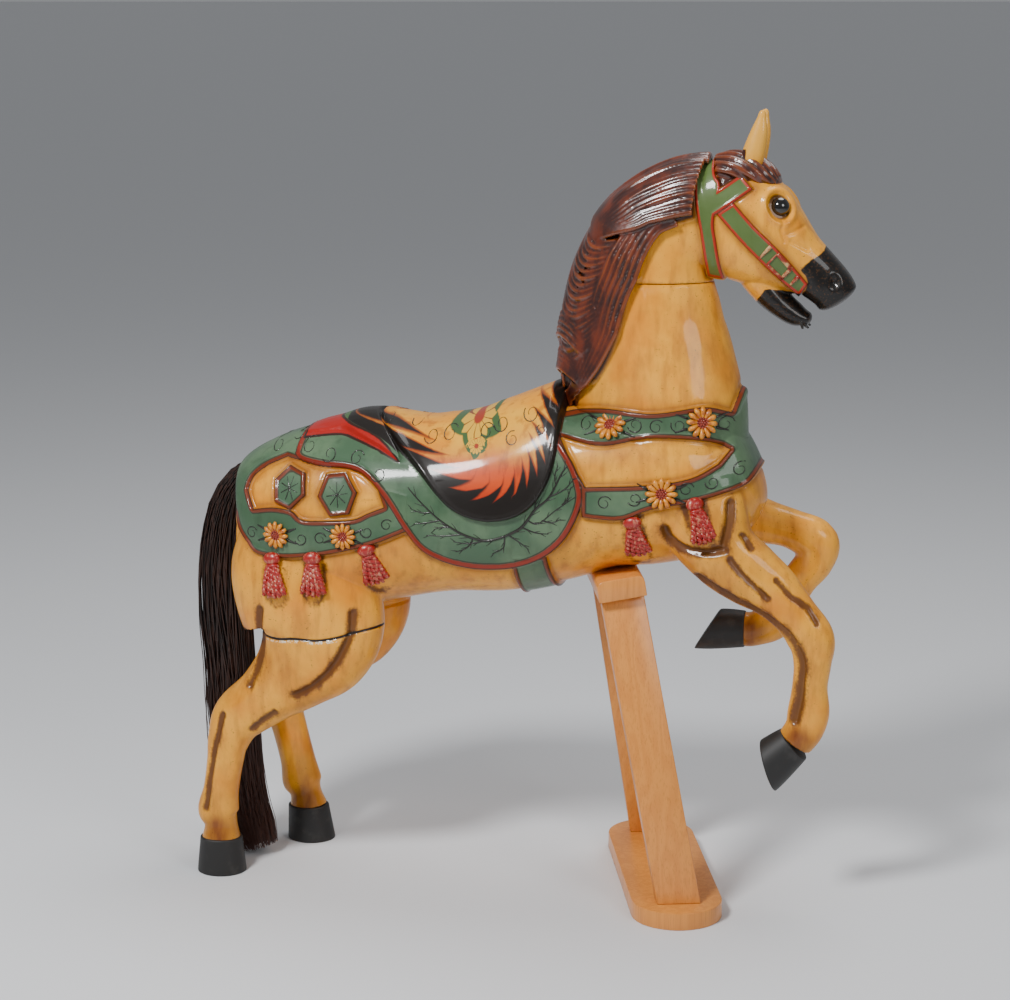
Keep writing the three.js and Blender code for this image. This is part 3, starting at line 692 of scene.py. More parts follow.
EAR_LOW, EAR_BACK = 1186, 340


def curl(middle, size, turn):
    """A scroll that winds in, as a painter's brush makes it."""
    share = np.linspace(0, 1, 16)
    angle = np.radians(turn) + share * 1.15 * 2 * np.pi
    reach = size * (1 - 0.65 * share)
    return np.stack([middle[0] + reach * np.cos(angle), middle[1] + reach * np.sin(angle)], 1)


def paint_layers(points, normals):
    flat = points[:, [0, 2]]
    _, stain_and_shadow = groove_depths(points, normals)
    right = points[:, 1] < 0
    for (x, z), sway in TASSELS:  # painted shadow: a dark ring on the flank around each tassel
        lean = math.radians(sway)
        low = (x + TASSEL_LONG * math.sin(lean), z - TASSEL_LONG * math.cos(lean))
        sideways = np.abs(normals[:, 1]) > 0.4
        # painted shadow around the tassel, kept in one layer with the grooves' stain
        stain_and_shadow = np.maximum(stain_and_shadow, 0.75 * ridge(line(flat, [(x, z), low]), 15, 7) * sideways)
    thigh_crack = np.where(right, line(flat, smooth_path(THIGH_CRACK, 40)), FAR)
    chips = np.maximum(thigh_crack - 6,
        np.abs(flat[:, 0] - CHIPS_AT) - CHIPS_HALF) + 8 * (flat[:, 1] > CHIPS_TOP)
    flower_x, flower_z = np.zeros(len(flat)), np.full(len(flat), -9.0)
    for middle, radius in PAINTED_FLOWERS:
        local = (flat - middle) / radius
        closer = np.hypot(*local.T) < np.minimum(np.hypot(flower_x, flower_z), 2.5)
        flower_x[closer], flower_z[closer] = local[closer].T
    pastern = np.minimum.reduce([
        np.hypot(points[:, 0] - x, points[:, 2] - z) - PASTERN_RADIUS for x, z in PASTERNS
    ])
    return {
        "blanket": field(flat, outline(BLANKET)), "saddle": field(flat, outline(SADDLE)),
        "cantle": field(flat, outline(CANTLE)), "harness": harness_field(flat),
        "bridle": bridle_field(flat),
        "mane_edge": field(flat, outline(MANE)), "muzzle": field(flat, outline(MUZZLE)), "stain_and_shadow": stain_and_shadow,
        "crack": thigh_crack, "chips": chips, "flower_x": flower_x, "flower_z": flower_z,
        "pastern": pastern,
        "tuft": field(flat, np.array(TUFT, float)),
        "ear": np.minimum(FAR, EAR_LOW - points[:, 2]) + FAR * (points[:, 0] < EAR_BACK),
        "lid": lid_reach(flat),
    }


def store(obj, layers):
    for name, values in layers.items():
        layer = obj.data.attributes.new(name, "FLOAT", "POINT")
        layer.data.foreach_set("value", np.asarray(values, np.float32))


for block in (body, head):
    store(block, paint_layers(points_of(block), normals_of(block)))
print("layers:", len(body.data.attributes))

# %% [markdown]
# ## Fewer triangles
# A decimate modifier takes points away where the skin is plain and leaves them where the carving bends.

# %% Thin the skins out where they are plain
BODY_MOST, HEAD_MOST, MANE_MOST = 192000, 120000, 170000  # triangles that each piece may keep


def decimate(obj, most):
    triangles = sum(len(face.vertices) - 2 for face in obj.data.polygons)
    if triangles > most:
        finish_with(obj, "DECIMATE", ratio=most / triangles)
    select_only(obj)
    bpy.ops.object.shade_smooth()
    print(obj.name, "triangles:", sum(len(face.vertices) - 2 for face in obj.data.polygons))


decimate(body, BODY_MOST)
decimate(head, HEAD_MOST)

# %% [markdown]
# ## Hair of wood
# The mane is carved as locks that sweep back from the crown strap and end in curls. Each lock is a bundle of
# tapered strands that follow the neck's own rings, lifted off the wood by a few millimetres. Thin tubes are
# laid along those paths, and one voxel remesh melts them into carved wood.

# %% Lay the mane's strands
BORDER_HEIGHTS, BORDER_ANGLES = [800, 824, 849, 921, 999, 1069, 1101], [16, 28, 54, 72, 80, 78, 88]
neck_rows = smooth_path(NECK, 200)
_, neck_across, neck_down = ring_axes(neck_rows)


def on_neck(share, angle, lift):
    """The places at those shares of the neck's length and angles from its crest, that far off the wood."""
    place = np.clip(share, 0, 1) * (len(neck_rows) - 1)
    rows, down, across = at_places(place, neck_rows, neck_down, neck_across)
    return around_rings(rows, down, across, np.radians(angle), -(rows[:, 3] + lift), -(rows[:, 4] + lift))


def tube(path, radii, sides=6):
    """A tapered tube along a path in space."""
    along = unit(np.gradient(path, axis=0))
    helper = np.where(np.abs(along[:, 1:2]) < 0.8, [[0.0, 1.0, 0.0]], [[1.0, 0.0, 0.0]])
    first = unit(np.cross(along, helper))
    second = np.cross(along, first)
    turn = 2 * np.pi * np.arange(sides) / sides
    points = path[:, None] + radii[:, None, None] * (
        first[:, None] * np.cos(turn)[:, None] + second[:, None] * np.sin(turn)[:, None]
    )
    return points.reshape(-1, 3), ring_faces(len(path), sides)


def border_angle(share):
    height = np.interp(share, np.linspace(0, 1, len(neck_rows)), neck_rows[:, 2])
    return np.interp(height, BORDER_HEIGHTS, BORDER_ANGLES)


def strand(waypoints, side, thick, lift):
    """A strand through shares of the neck's length and parts of the way from crest to border."""
    steps = 12 * len(waypoints)
    share, part = smooth_path(waypoints, steps).T
    t = np.linspace(0, 1, steps)
    up = 5 + np.interp(t, np.linspace(0, 1, len(lift)), lift)
    radius = thick * np.interp(t, [0, 0.08, 0.8, 1], [0.95, 1, 0.9, 0.3])
    return tube(on_neck(share, side * part * border_angle(share), up), radius)


# The crown strap holds the hair at this share of the neck on the crest, and so much lower beside it.
CROWN_SHARE, CROWN_LEAN = 0.975, 0.075
MANE_GRAIN = 1.9  # side of the little squares in mm
hair = []
for k in range(9):
    part = (k - 4) * 0.055
    sway = [(CROWN_SHARE - 0.13 * i, part + 0.03 * math.sin(2 * i + k)) for i in range(7)]
    hair.append(strand(sway, 1, 5.0, [6, 8, 6, 8, 5]))
for side in (-1, 1):
    for k in range(6):  # along the hair's border
        part = 1.07 - 0.06 * k
        sway = [(0.83, part), (0.66, part), (0.5, part - 0.03), (0.37, part - 0.05), (0.28, part - 0.14),
            (0.21, part - 0.4)]
        hair.append(strand(sway, side, 4.6, [4, 6 + k, 5, 7, 4]))
    for k in range(20):  # bowls that swing from the crest to the border
        share = 0.69 - 0.0155 * k
        sway = [(share + 0.02, 0.1), (share - 0.035, 0.26), (share - 0.055, 0.5), (share - 0.03, 0.74),
            (share + 0.025, 0.95)]
        hair.append(strand(sway, side, 4.8,
            [5, 8 + 1.5 * math.sin(1.7 * k), 8 + 2 * math.sin(2.3 * k), 7, 4]))
    for k in range(14):  # the great lock, combed back from the crown strap into one tip
        part = 0.03 + 0.94 * k / 13
        sway = [(CROWN_SHARE - CROWN_LEAN * part, part), (0.81, part * 0.98), (0.73, 0.07 + 0.83 * part),
            (0.675, 0.2 + 0.5 * part), (0.632, 0.36 + 0.1 * part)]
        hair.append(strand(sway, side, 5.2, [8, 10 + 2 * math.sin(2.1 * k), 13, 15, 9]))
    for share in (0.385, 0.30):  # two curls that stand off the neck, with a hollow under each
        for k in range(5):
            rise = 0.012 * k
            sway = [(share - 0.01, 0.02), (share + 0.02 + rise, 0.2), (share + 0.02 + rise, 0.42),
                (share - 0.01 + rise, 0.64), (share - 0.04, 0.8)]
            hair.append(strand(sway, side, 4.4, [5, 15 - k, 16 - 2 * k, 11 - k, 5]))
        for k in range(2):
            low = share - 0.05 - 0.016 * k
            hair.append(strand([(low, 0.03), (low - 0.012, 0.3), (low + 0.005, 0.62)], side, 3.8,
                [5, 7, 5]))
    for k in range(5):
        low = 0.24 - 0.017 * k
        hair.append(strand([(low, 0.03), (low - 0.014, 0.3), (low, 0.6), (low + 0.02, 0.95)], side, 4.6,
            [4, 6, 4, 2]))

FORELOCK = [(340, 0, 1166, 21, 43), (364, 0, 1170, 23, 50), (390, 0, 1166, 22, 48), (413, 0, 1157, 17, 41),
    (429, 0, 1150, 9, 28)]
hair.append(skin(FORELOCK, 24, 24, 2.0, (0, 8)))
roll_rows = smooth_path(FORELOCK, 40)
_, roll_across, roll_down = ring_axes(roll_rows)
for k in range(14):
    angle = 2 * np.pi * k / 14 + np.linspace(0, 1.5, 40)
    path = around_rings(roll_rows, roll_down, roll_across, angle, roll_rows[:, 3], roll_rows[:, 4])
    hair.append(tube(path, np.interp(np.linspace(0, 1, 40), [0, 0.5, 1], [5.5, 6.0, 3.0])))

mane = piece("mane", hair)
finish_with(mane, "REMESH", mode="VOXEL", voxel_size=MANE_GRAIN * MM, adaptivity=0.0)
finish_with(mane, "SMOOTH", factor=0.5, iterations=2)
decimate(mane, MANE_MOST)

# %% [markdown]
# ## Hooves, eyes and trimmings
# Hooves are blunt cones with a rolled rim. The glass eyes are balls, set in their sockets. Tassels hang from
# the straps: a bound head and twisted ropes. Rosettes are petals around a beaded heart. One of each is worked
# out flat and then laid on the flank, wherever a straight look across the horse meets the wood.

# %% Hooves and eyes
HOOVES = [
    (-1, LEG_OUT, (-463, 60, 35, 0), (-463, 0, 41, 0)), (1, LEG_OUT, (-368, 60, 35, 0), (-363, 0, 41, 0)),
    (-1, ARM_OUT, (483, 275, 31, -48), (443, 236, 42, -71)),
    (1, ARM_OUT, (385, 415, 30, 90), (322, 412, 39, 58)),
]
HOOF_NARROWING = 0.93
hoof_skins = []
for side, out, coronet, sole in HOOVES:
    rims = [(x, side * out, z, deep, deep * HOOF_NARROWING) for x, z, deep, _ in (coronet, sole)]
    hoof_skins.append(skin(rims, 10, 48, 2.0, (0, 0), (coronet[3], sole[3])))
hooves = piece("hooves", hoof_skins)
finish_with(hooves, "BEVEL", width=3 * MM, segments=3, limit_method="ANGLE")
select_only(hooves)
bpy.ops.object.shade_smooth_by_angle(angle=math.radians(40))

EYE_SIDES = 32
eyes = []
for name in ("eye_right", "eye_left"):
    low, high = (to_drawing(corner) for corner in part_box(name))
    middle = (low + high) / 2
    tilt = np.linspace(-1, 1, 25)[1:-1] * math.pi / 2
    rows = [
        (middle[0], middle[1] + EYE_RADIUS * math.sin(a), middle[2], EYE_RADIUS * math.cos(a)) for a in tilt
    ]
    turn = 2 * np.pi * np.arange(EYE_SIDES) / EYE_SIDES
    points = np.concatenate([
        np.stack([x + r * np.cos(turn), np.full(EYE_SIDES, y), z + r * np.sin(turn)], 1) for x, y, z,
        r in rows
    ])
    faces = [face[::-1] for face in ring_faces(len(rows), EYE_SIDES)]  # these rings run the other way round
    eye = piece(name + "_glass", [(points, faces)])
    select_only(eye)
    bpy.ops.object.shade_smooth()
    eyes.append((eye, name))
print("hooves and eyes:", hooves.name, [eye.name for eye, _ in eyes])

# %% Tassels and rosettes
LOOK_FROM = 400  # mm beside the horse
PETALS = 12
ROSETTES = [((189, 776), 26), ((330, 784), 25), ((274, 677), 25), ((-342, 588), 22),
    ((-230, 592), 21)]  # place, radius


def flank_at(x, z, side, on=body):
    """Where a look across the horse meets the wood, if it does."""
    hit, spot, _, _ = on.ray_cast(to_frame((x, side * LOOK_FROM, z)), (0, -side, 0))
    return to_drawing(spot) if hit else None


def laid_frame(x, z, side, sway=0.0, reach=20.0):
    """A place on the flank with the ways across, down and out there, measured over a reach."""
    lean = math.radians(sway)
    spot = flank_at(x, z, side)
    low = flank_at(x + reach * math.sin(lean), z - reach * math.cos(lean), side)
    ahead, behind = flank_at(x + 10, z, side), flank_at(x - 10, z, side)
    down = unit(low - spot)
    out = unit(np.cross(ahead - behind, down))
    out *= np.sign(out[1] * side)
    return spot, np.stack([np.cross(down, out), down, out])


def laid(part, place, lift=0.0):
    """A flat part, given as across, down and out, laid on the flank."""
    spot, axes = place
    points, faces = part
    return spot + axes[2] * lift + points @ axes, faces


def ball(middle, half, sides=10):
    tilt = np.linspace(-1.35, 1.35, 7)
    turn = 2 * np.pi * np.arange(sides) / sides
    points = np.concatenate([
        np.stack([half[0] * math.cos(a) * np.cos(turn), half[1] * math.cos(a) * np.sin(turn),
                  np.full(sides, half[2] * math.sin(a))], 1) for a in tilt
    ]) + middle
    return points, ring_faces(len(tilt), sides)


def flat_tassel():
    parts = [ball((0, 3, 3), (15, 11, 9), 20), ball((0, 14, 3), (12, 4.5, 8), 20)]
    t = np.linspace(0, 1, 30)
    for rope in range(5):
        spread = (rope - 2) / 2
        across = spread * (7 + 11 * t)
        down = 15 + t * (52 - 5 * spread**2)
        for ply in range(2):
            wind = 2 * np.pi * (3.2 * t) + ply * np.pi + rope
            out = 4.5 + 2.4 * np.sin(wind) + 2 * np.sin(np.pi * t)
            path = np.stack([across + 2.2 * np.cos(wind), down, out], 1)
            parts.append(tube(path, np.interp(t, [0, 0.1, 0.9, 1], [3.0, 3.4, 3.6, 1.6])))
    return parts


def flat_petals(radius):
    parts = []
    for k in range(PETALS):
        angle = 2 * np.pi * k / PETALS
        t = np.linspace(0, 1, 8)
        reach = radius * (0.3 + 0.7 * t)
        path = np.stack([reach * np.cos(angle), reach * np.sin(angle), 2.6 + 1.8 * np.sin(np.pi * t)], 1)
        parts.append(tube(path, radius * np.interp(t, [0, 0.4, 0.75, 1], [0.09, 0.16, 0.19, 0.08])))
    return parts


def flat_heart(radius):
    beads = [(0.0, 0.0)] + [
        (reach * math.cos(2 * math.pi * k / count), reach * math.sin(2 * math.pi * k / count))
        for reach, count in ((0.16, 6), (0.31, 11)) for k in range(count)
    ]
    return [ball((radius * u, radius * v, 4.5), (radius * 0.085,) * 3, 8) for u, v in beads] + [
        ball((0, 0, 1.5), (radius * 0.38, radius * 0.38, 3.5), 16)
    ]


def trim(name, parts):
    obj = piece(name, parts)
    select_only(obj)
    bpy.ops.object.shade_smooth()
    print(name, "faces:", len(obj.data.polygons))
    return obj


one_tassel = flat_tassel()
tassels = trim("tassels", [
    laid(part, place, 2.0)
    for place in [laid_frame(*at, side, sway, 60) for at, sway in TASSELS for side in (-1, 1)]
    for part in one_tassel
])
petals, hearts = (
    trim(name, [
        laid(part, laid_frame(*at, side)) for at,
        radius in ROSETTES for side in (-1, 1) for part in flat(radius)
    ])
    for name, flat in (("rosette_petals", flat_petals), ("rosette_hearts", flat_heart))
)

# %% [markdown]
# ## Brush lines, a buckle and a tuft of hair
# Twigs, scrolls and stars were drawn with a fine brush, in thick paint that stands up a little. Each line is
# a thin tube laid half into the wood, which stays sharp however close the camera comes.

# %% Draw the brush lines
TWIG, BRANCH, SHOOT, SCROLL, STAR, BUCKLE_WIRE = 2.3, 1.3, 0.85, 1.05, 0.9, 3.6  # half widths in mm


def brushed(path, side, thick, on):
    """A tapered line of paint along a path in side view."""
    spots = [spot for x, z in path if (spot := flank_at(x, z, side, on)) is not None]
    if len(spots) < 4:
        return []
    taper = np.interp(np.linspace(0, 1, len(spots)), [0, 0.2, 1], [0.9, 1, 0.45])
    return [tube(np.array(spots), thick * taper, 5)]


lines = []
for side in (-1, 1):
    for k, path in enumerate(TWIGS):
        fine, stem = smooth_path(path, 8 * len(path)), len(path) > 4
        lines += brushed(fine, side, TWIG if stem else BRANCH, body)
        ahead = unit(np.gradient(fine, axis=0))
        for i in range(6, len(fine) - 2, 5):  # side shoots, left and right in turn
            shoot = turned(ahead[i], 0.7 * (-1) ** (i + k))
            t = np.linspace(0, 1, 8)[:, None]
            reach = 17 if stem else 10
            lines += brushed(fine[i] + reach * (0.7 * t * shoot + 0.3 * t**2 * ahead[i]), side, SHOOT, body)
    for each in CURLS + SADDLE_CURLS:
        lines += brushed(curl(*each), side, SCROLL, body)
    for (x, z), radius in ROSETTES:
        for lean in (-0.35, 0.35, math.pi - 0.35, math.pi + 0.35):
            way = np.array([math.cos(lean), math.sin(lean)])
            lines += brushed((x, z) + way * np.linspace(0.9, 1.65, 8)[:, None] * radius, side, TWIG, body)
    for middle, half, turn in HEXAGONS:
        for ray in range(4):
            angle = math.radians(turn) + ray * math.pi / 4
            reach = 0.52 * np.array([half[0] * math.cos(angle), half[1] * math.sin(angle)])
            lines += brushed(np.linspace(-1, 1, 8)[:, None] * reach + middle, side, STAR, body)
strokes = trim("brush_lines", lines)

BUCKLE = [(438, 1044), (458, 1021), (444, 1006), (423, 1028), (438, 1044)]
KEEPERS = [[(428, 1056), (410, 1036)], [(470, 1010), (456, 994)]]
iron = []
for side in (-1, 1):
    for path in (BUCKLE, *KEEPERS):
        corners = np.array(path, float)
        fine = np.concatenate([np.linspace(p, q, 6) for p, q in zip(corners[:-1], corners[1:])])
        iron += brushed(fine, side, BUCKLE_WIRE, head)
buckle = trim("buckle", iron)

beard = []
for k in range(9):  # the short tuft under the lower lip
    y = (k - 4) * 4.5
    third, odd = k % 3, k % 2
    wisp = [(462 + 2 * third, y, 950), (471 + 3 * odd, y * 1.1, 938),
        (476 + 4 * third, y * 1.2, 925 + 3 * odd)]
    beard.append(tube(smooth_path(wisp, 12), np.linspace(5.0, 1.6, 12), 8))
chin_tuft = trim("chin_tuft", beard)

# %% [markdown]
# ## The tail
# The tail is real horsehair, nailed under the rump. A dark core keeps it from being seen through, and more
# than a thousand thin tapered strands follow it, a few of them astray. Hair particles would not survive the
# export, so each strand is a three-sided tube.

# %% Strands of the tail
TAIL = [
    (-400, 0, 672, 13, 13), (-438, 0, 656, 19, 18), (-463, 0, 608, 29, 23), (-474, 0, 545, 33, 26),
    (-477, 0, 480, 36, 28),
    (-475, 0, 410, 37, 28), (-470, 0, 340, 36, 27), (-467, 0, 270, 38, 26), (-464, 0, 205, 38, 25),
    (-459, 0, 145, 37, 26),
    (-450, 0, 88, 37, 28), (-436, 0, 46, 35, 30), (-425, 0, 12, 28, 27),
]
draw = np.random.default_rng(11)
HAIRS, HAIR_STEPS = 1150, 24
HAIR_TAPER = np.interp(np.linspace(0, 1, HAIR_STEPS), [0, 0.5, 1], [1.6, 1.3, 0.4])
tail_rows = smooth_path(TAIL, 100)
_, tail_across, tail_down = ring_axes(tail_rows)
CORE = 0.72  # the dark core's share of the tail's thickness
core_rows = [(x, y, z + (8 if z < 20 else 0), deep * CORE, wide * CORE) for x, y, z, deep, wide in TAIL]
strands = [skin(core_rows, 60, 16)]
for k in range(HAIRS):
    t = np.linspace(0.02 * draw.random(), 1 - 0.35 * draw.random() ** 3, HAIR_STEPS)
    rows, down, across = at_places(t * (len(tail_rows) - 1), tail_rows, tail_down, tail_across)
    angle = draw.random() * 2 * np.pi + 0.7 * np.sin(3 * t + draw.random() * 6)
    reach = 0.62 + 0.42 * draw.random() + 0.1 * np.sin(5 * t + draw.random() * 6)
    astray = (k % 16 == 0) * 20 * np.sin(np.pi * t) * draw.random()
    path = around_rings(rows, down, across, angle, rows[:, 3] * reach, rows[:, 4] * reach)
    path[:, 0] -= astray
    path[:, 2] = np.maximum(path[:, 2], 5)
    strands.append(tube(path, HAIR_TAPER, 3))
tail = trim("tail_hair", strands)

# %% [markdown]
# ## The trestle
# The stand is joiner's work: a round-ended foot board, two leaning posts and a block, planed from pine. The
# foot is drawn as an outline and pulled up. Posts and block keep their measured solids. All get broken edges
# from a bevel modifier.

# %% Foot, posts and block
FOOT_LONG, FOOT_WIDE, BOARD, TRESTLE_TURN = 460.0, 145.0, 28.0, math.radians(16)


def extruded(flat, low, high):
    count = len(flat)
    points = np.concatenate([np.column_stack([flat, np.full(count, z)]) for z in (low, high)])
    k = np.arange(count)
    sides = np.stack([k, (k + 1) % count, (k + 1) % count + count, k + count], 1).tolist()
    return points, sides + [k[::-1].tolist(), (k + count).tolist()]


half_turn = np.linspace(0, np.pi, 25)
arc = FOOT_WIDE / 2 * np.stack([np.cos(half_turn), np.sin(half_turn)], 1)
straight = (FOOT_LONG - FOOT_WIDE) / 2
plan = np.concatenate([arc + [0, straight], -arc - [0, straight]])
plan = turned(plan, TRESTLE_TURN) + DRAWN_FOOT[:2]
stand = [(piece("trestle_foot", [extruded(plan, 0, BOARD)]), "stand_foot")]
for name in ("stand_post_right", "stand_post_left", "stand_block"):
    board = bpy.data.objects.new(name.replace("stand", "trestle"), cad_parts[name].data.copy())
    board.matrix_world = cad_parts[name].matrix_world
    bpy.context.collection.objects.link(board)
    select_only(board)
    bpy.ops.object.transform_apply(location=True, rotation=True, scale=True)
    bpy.ops.object.mode_set(mode="EDIT")
    bpy.ops.mesh.select_all(action="SELECT")
    bpy.ops.mesh.remove_doubles(threshold=0.0001)
    bpy.ops.mesh.dissolve_limited(angle_limit=math.radians(2))
    bpy.ops.object.mode_set(mode="OBJECT")
    board.data.materials.clear()
    stand.append((board, name))
for board, _ in stand:
    finish_with(board, "BEVEL", width=1.6 * MM, segments=2, limit_method="ANGLE",
        angle_limit=math.radians(25))
    select_only(board)
    bpy.ops.object.shade_smooth_by_angle(angle=math.radians(35))
print("trestle:", [board.name for board, _ in stand])

# %% [markdown]
# ## Painted highlight and shade
# Ridges are painted lighter, as a painted highlight, and hollows darker, as painted shade; on the tassels the
# pale ridges are partly worn paint as well. A ridge could be found by the renderer, but a value stored on the
# mesh stays with the piece wherever it goes. At each point the directions to its neighbours are averaged: on
# a flat place they cancel out, on a ridge they all lean inwards.

# %% Store the ridges and hollows of the mane and the tassels, for their painted highlight and shade
def sheen_and_shade_of(obj):
    """0.5 on a flat place, more on a ridge and less in a hollow."""
    ends = np.empty(len(obj.data.edges) * 2, np.int32)
    obj.data.edges.foreach_get("vertices", ends)
    first, last = ends.reshape(-1, 2).T
    points = points_of(obj)
    along = unit(points[last] - points[first])
    count = np.maximum(np.bincount(ends, minlength=len(points)), 1)
    lean = np.zeros_like(points)
    np.add.at(lean, first, along)
    np.add.at(lean, last, -along)
    cosine = (lean / count[:, None] * normals_of(obj)).sum(1)
    raw = np.arccos(np.clip(cosine, -1, 1)) / np.pi
    soft = raw.copy()
    np.add.at(soft, first, raw[last])
    np.add.at(soft, last, raw[first])
    return soft / (count + 1)


# ridges get a painted highlight and hollows painted shade
for shaded_piece in (mane, tassels):
    store(shaded_piece, {"sheen_and_shade": sheen_and_shade_of(shaded_piece)})
    print(shaded_piece.name, "worn points:", len(shaded_piece.data.vertices))

# %% [markdown]
# ## Mixing the paints
# A material is a chain of nodes. One small class wraps a node's output, so that distances can be added,
# compared and mixed as plain sums, and one method makes any other node.

# %% A small language for materials
class Wire:
    """An output of a node, to reckon with."""

    def __init__(self, paint, socket):
        self.paint, self.socket = paint, socket

    def sum(self, operation, *others):
        return self.paint.node("ShaderNodeMath", {"operation": operation}, dict(enumerate((self, *others))))

    def __add__(self, other):
        return self.sum("ADD", other)

    def __sub__(self, other):
        return self.sum("SUBTRACT", other)

    def __rsub__(self, other):
        return self * -1 + other

    def __mul__(self, other):
        return self.sum("MULTIPLY", other)

    __radd__, __rmul__ = __add__, __mul__

    def under(self, limit, soft=0.6):
        """One where the value is below the limit, none above, with a soft edge."""
        return self.paint.node(
            "ShaderNodeMapRange", {"interpolation_type": "SMOOTHSTEP"},
            {"Value": self, "From Min": limit - soft, "From Max": limit + soft, "To Min": 1.0,
            "To Max": 0.0},
        )

    def over(self, limit, soft=0.6):
        return 1 - self.under(limit, soft)

    def between(self, low, high, soft=0.6):
        return self.over(low, soft) * self.under(high, soft)


class Paint:
    """A material with one Principled shader."""

    def __init__(self, name, **fixed):
        self.material = bpy.data.materials.new(name)
        self.material.use_nodes = True
        self.tree = self.material.node_tree
        self.shader = self.tree.nodes["Principled BSDF"]
        for socket, value in fixed.items():
            self.set(socket.replace("_", " "), value)

    def feed(self, socket, value):
        if isinstance(value, Wire):
            self.tree.links.new(value.socket, socket)
        else:
            socket.default_value = value

    def set(self, socket, value):
        self.feed(self.shader.inputs[socket], value)

    def node(self, kind, settings=None, sockets=None, out=0):
        made = self.tree.nodes.new(kind)
        for name, value in (settings or {}).items():
            setattr(made, name, value)
        for key, value in (sockets or {}).items():
            self.feed(made.inputs[key], value)
        return Wire(self, made.outputs[out])

    def layer(self, name):
        return self.node("ShaderNodeAttribute", {"attribute_name": name}, out="Fac")

    def place(self, stretch=(1, 1, 1)):
        spot = self.node("ShaderNodeTexCoord", out="Object")
        return self.node("ShaderNodeMapping", {}, {"Vector": spot, "Scale": stretch})

    def noise(self, scale, detail=3.0, stretch=(1, 1, 1), rough=0.55):
        return self.node(
            "ShaderNodeTexNoise", {},
            {"Vector": self.place(stretch), "Scale": scale, "Detail": detail, "Roughness": rough},
        )

    def mix(self, share, under, over):
        return self.node("ShaderNodeMix", {"data_type": "RGBA"}, {0: share, 6: under, 7: over}, out=2)

    def axis(self, letter):
        return self.node(
            "ShaderNodeSeparateXYZ", {}, {0: self.node("ShaderNodeTexCoord", out="Object")}, out=letter
        )

    def bump(self, height, strength):
        normal = self.node("ShaderNodeBump", {}, {"Strength": strength, "Distance": MM, "Height": height})
        self.set("Normal", normal)


def colour(code):
    """A colour from six hexadecimal digits, as linear light."""
    parts = [int(code[k:k + 2], 16) / 255 for k in (0, 2, 4)]
    return (*[v / 12.92 if v < 0.04 else ((v + 0.055) / 1.055) ** 2.4 for v in parts], 1.0)


print("palette ready")

# %% [markdown]
# ## Oil paint under varnish
# Under everything lies honey-coloured ochre, streaked by the brush and stained brown in the grooves. Beside
# the straps it is darkened by dirt and painted shade, and around the tassels by a painted shadow. Straps and
# blanket are sage green with red-brown lines, the saddle runs from black through red and orange flames to
# yellow, and a glossy coat of old varnish covers all of it.

# %% Paint of the horse
coat = Paint("horse_paint", Specular_IOR_Level=0.22, Coat_Weight=0.45, Coat_Roughness=0.09)
blotch, grain, speck = coat.noise(9, 4), coat.noise(60, 4, (1, 1, 0.25)), coat.noise(260, 2)
wobble = (coat.noise(45, 2) - 0.5) * 3.0
harness, blanket, saddle = coat.layer("harness"), coat.layer("blanket"), coat.layer("saddle")
cantle, bridle, muzzle = coat.layer("cantle"), coat.layer("bridle"), coat.layer("muzzle")
stain_and_shadow = coat.layer("stain_and_shadow")

ochre = coat.mix(blotch.between(0.42, 0.66, 0.14), colour("dc8712"), colour("efa62c"))
ochre = coat.mix(grain.over(0.58, 0.15) * 0.5, ochre, colour("a8601c"))
grime = coat.noise(5, 5, (1, 1, 0.6), 0.65)
ochre = coat.mix(grime.over(0.56, 0.1) * 0.45, ochre, colour("8f5218"))
ochre = coat.mix(speck.over(0.69, 0.03) * blotch.over(0.45, 0.1) * 0.6, ochre, colour("5d3a18"))
edges = harness.sum("MINIMUM", blanket).sum("MINIMUM", bridle)
# darker ochre beside straps, blanket and bridle: partly dirt, partly painted shade
ochre = coat.mix(edges.under(6, 9) * (0.4 + 0.5 * blotch), ochre, colour("7a4412"))
# dark brown: the grooves' stain, and the painted shadow around the tassels
stain_and_shadow_mask = (stain_and_shadow + (grain - 0.5) * 1.1 + (speck - 0.5) * 0.5).over(0.52, 0.3)
ochre = coat.mix(stain_and_shadow_mask * 0.9, ochre, colour("4f260b"))
ochre = coat.mix(coat.layer("pastern").under(-2, 13) * (0.35 + 0.8 * grain), ochre, colour("6b3212"))
ochre = coat.mix(coat.layer("ear").under(0, 14) * 0.6, ochre, colour("e3ad45"))
bare = coat.layer("chips").under(0, 1.5) * speck.over(0.52, 0.02) * blotch.over(0.45, 0.05)
ochre = coat.mix(bare, ochre, colour("e9dfc8"))
ochre = coat.mix(coat.layer("crack").under(2.2, 1), ochre, colour("1d120a"))

sage = coat.mix(blotch.over(0.52, 0.12), colour("3f5a41"), colour("587053"))
sage = coat.mix(grain.over(0.62, 0.1) * 0.3, sage, colour("2b3a26"))
strap = coat.mix((harness + wobble * 0.3).over(-6.5, 0.8), sage, colour("6e2c10"))
strap = coat.mix((harness + wobble * 0.3).between(-8.2, -6.2, 0.5) * 0.8, strap, colour("2a1a10"))
strap = coat.mix(harness.over(-1.6, 0.6), strap, colour("3b2010"))
cloth = coat.mix(blanket.over(-9.0, 0.8), sage, colour("7c220e"))
cloth = coat.mix(blanket.between(-11.5, -9.2, 0.5) * 0.8, cloth, colour("24160d"))
cloth = coat.mix(blanket.over(-2.0, 0.8), cloth, colour("3a1f10"))

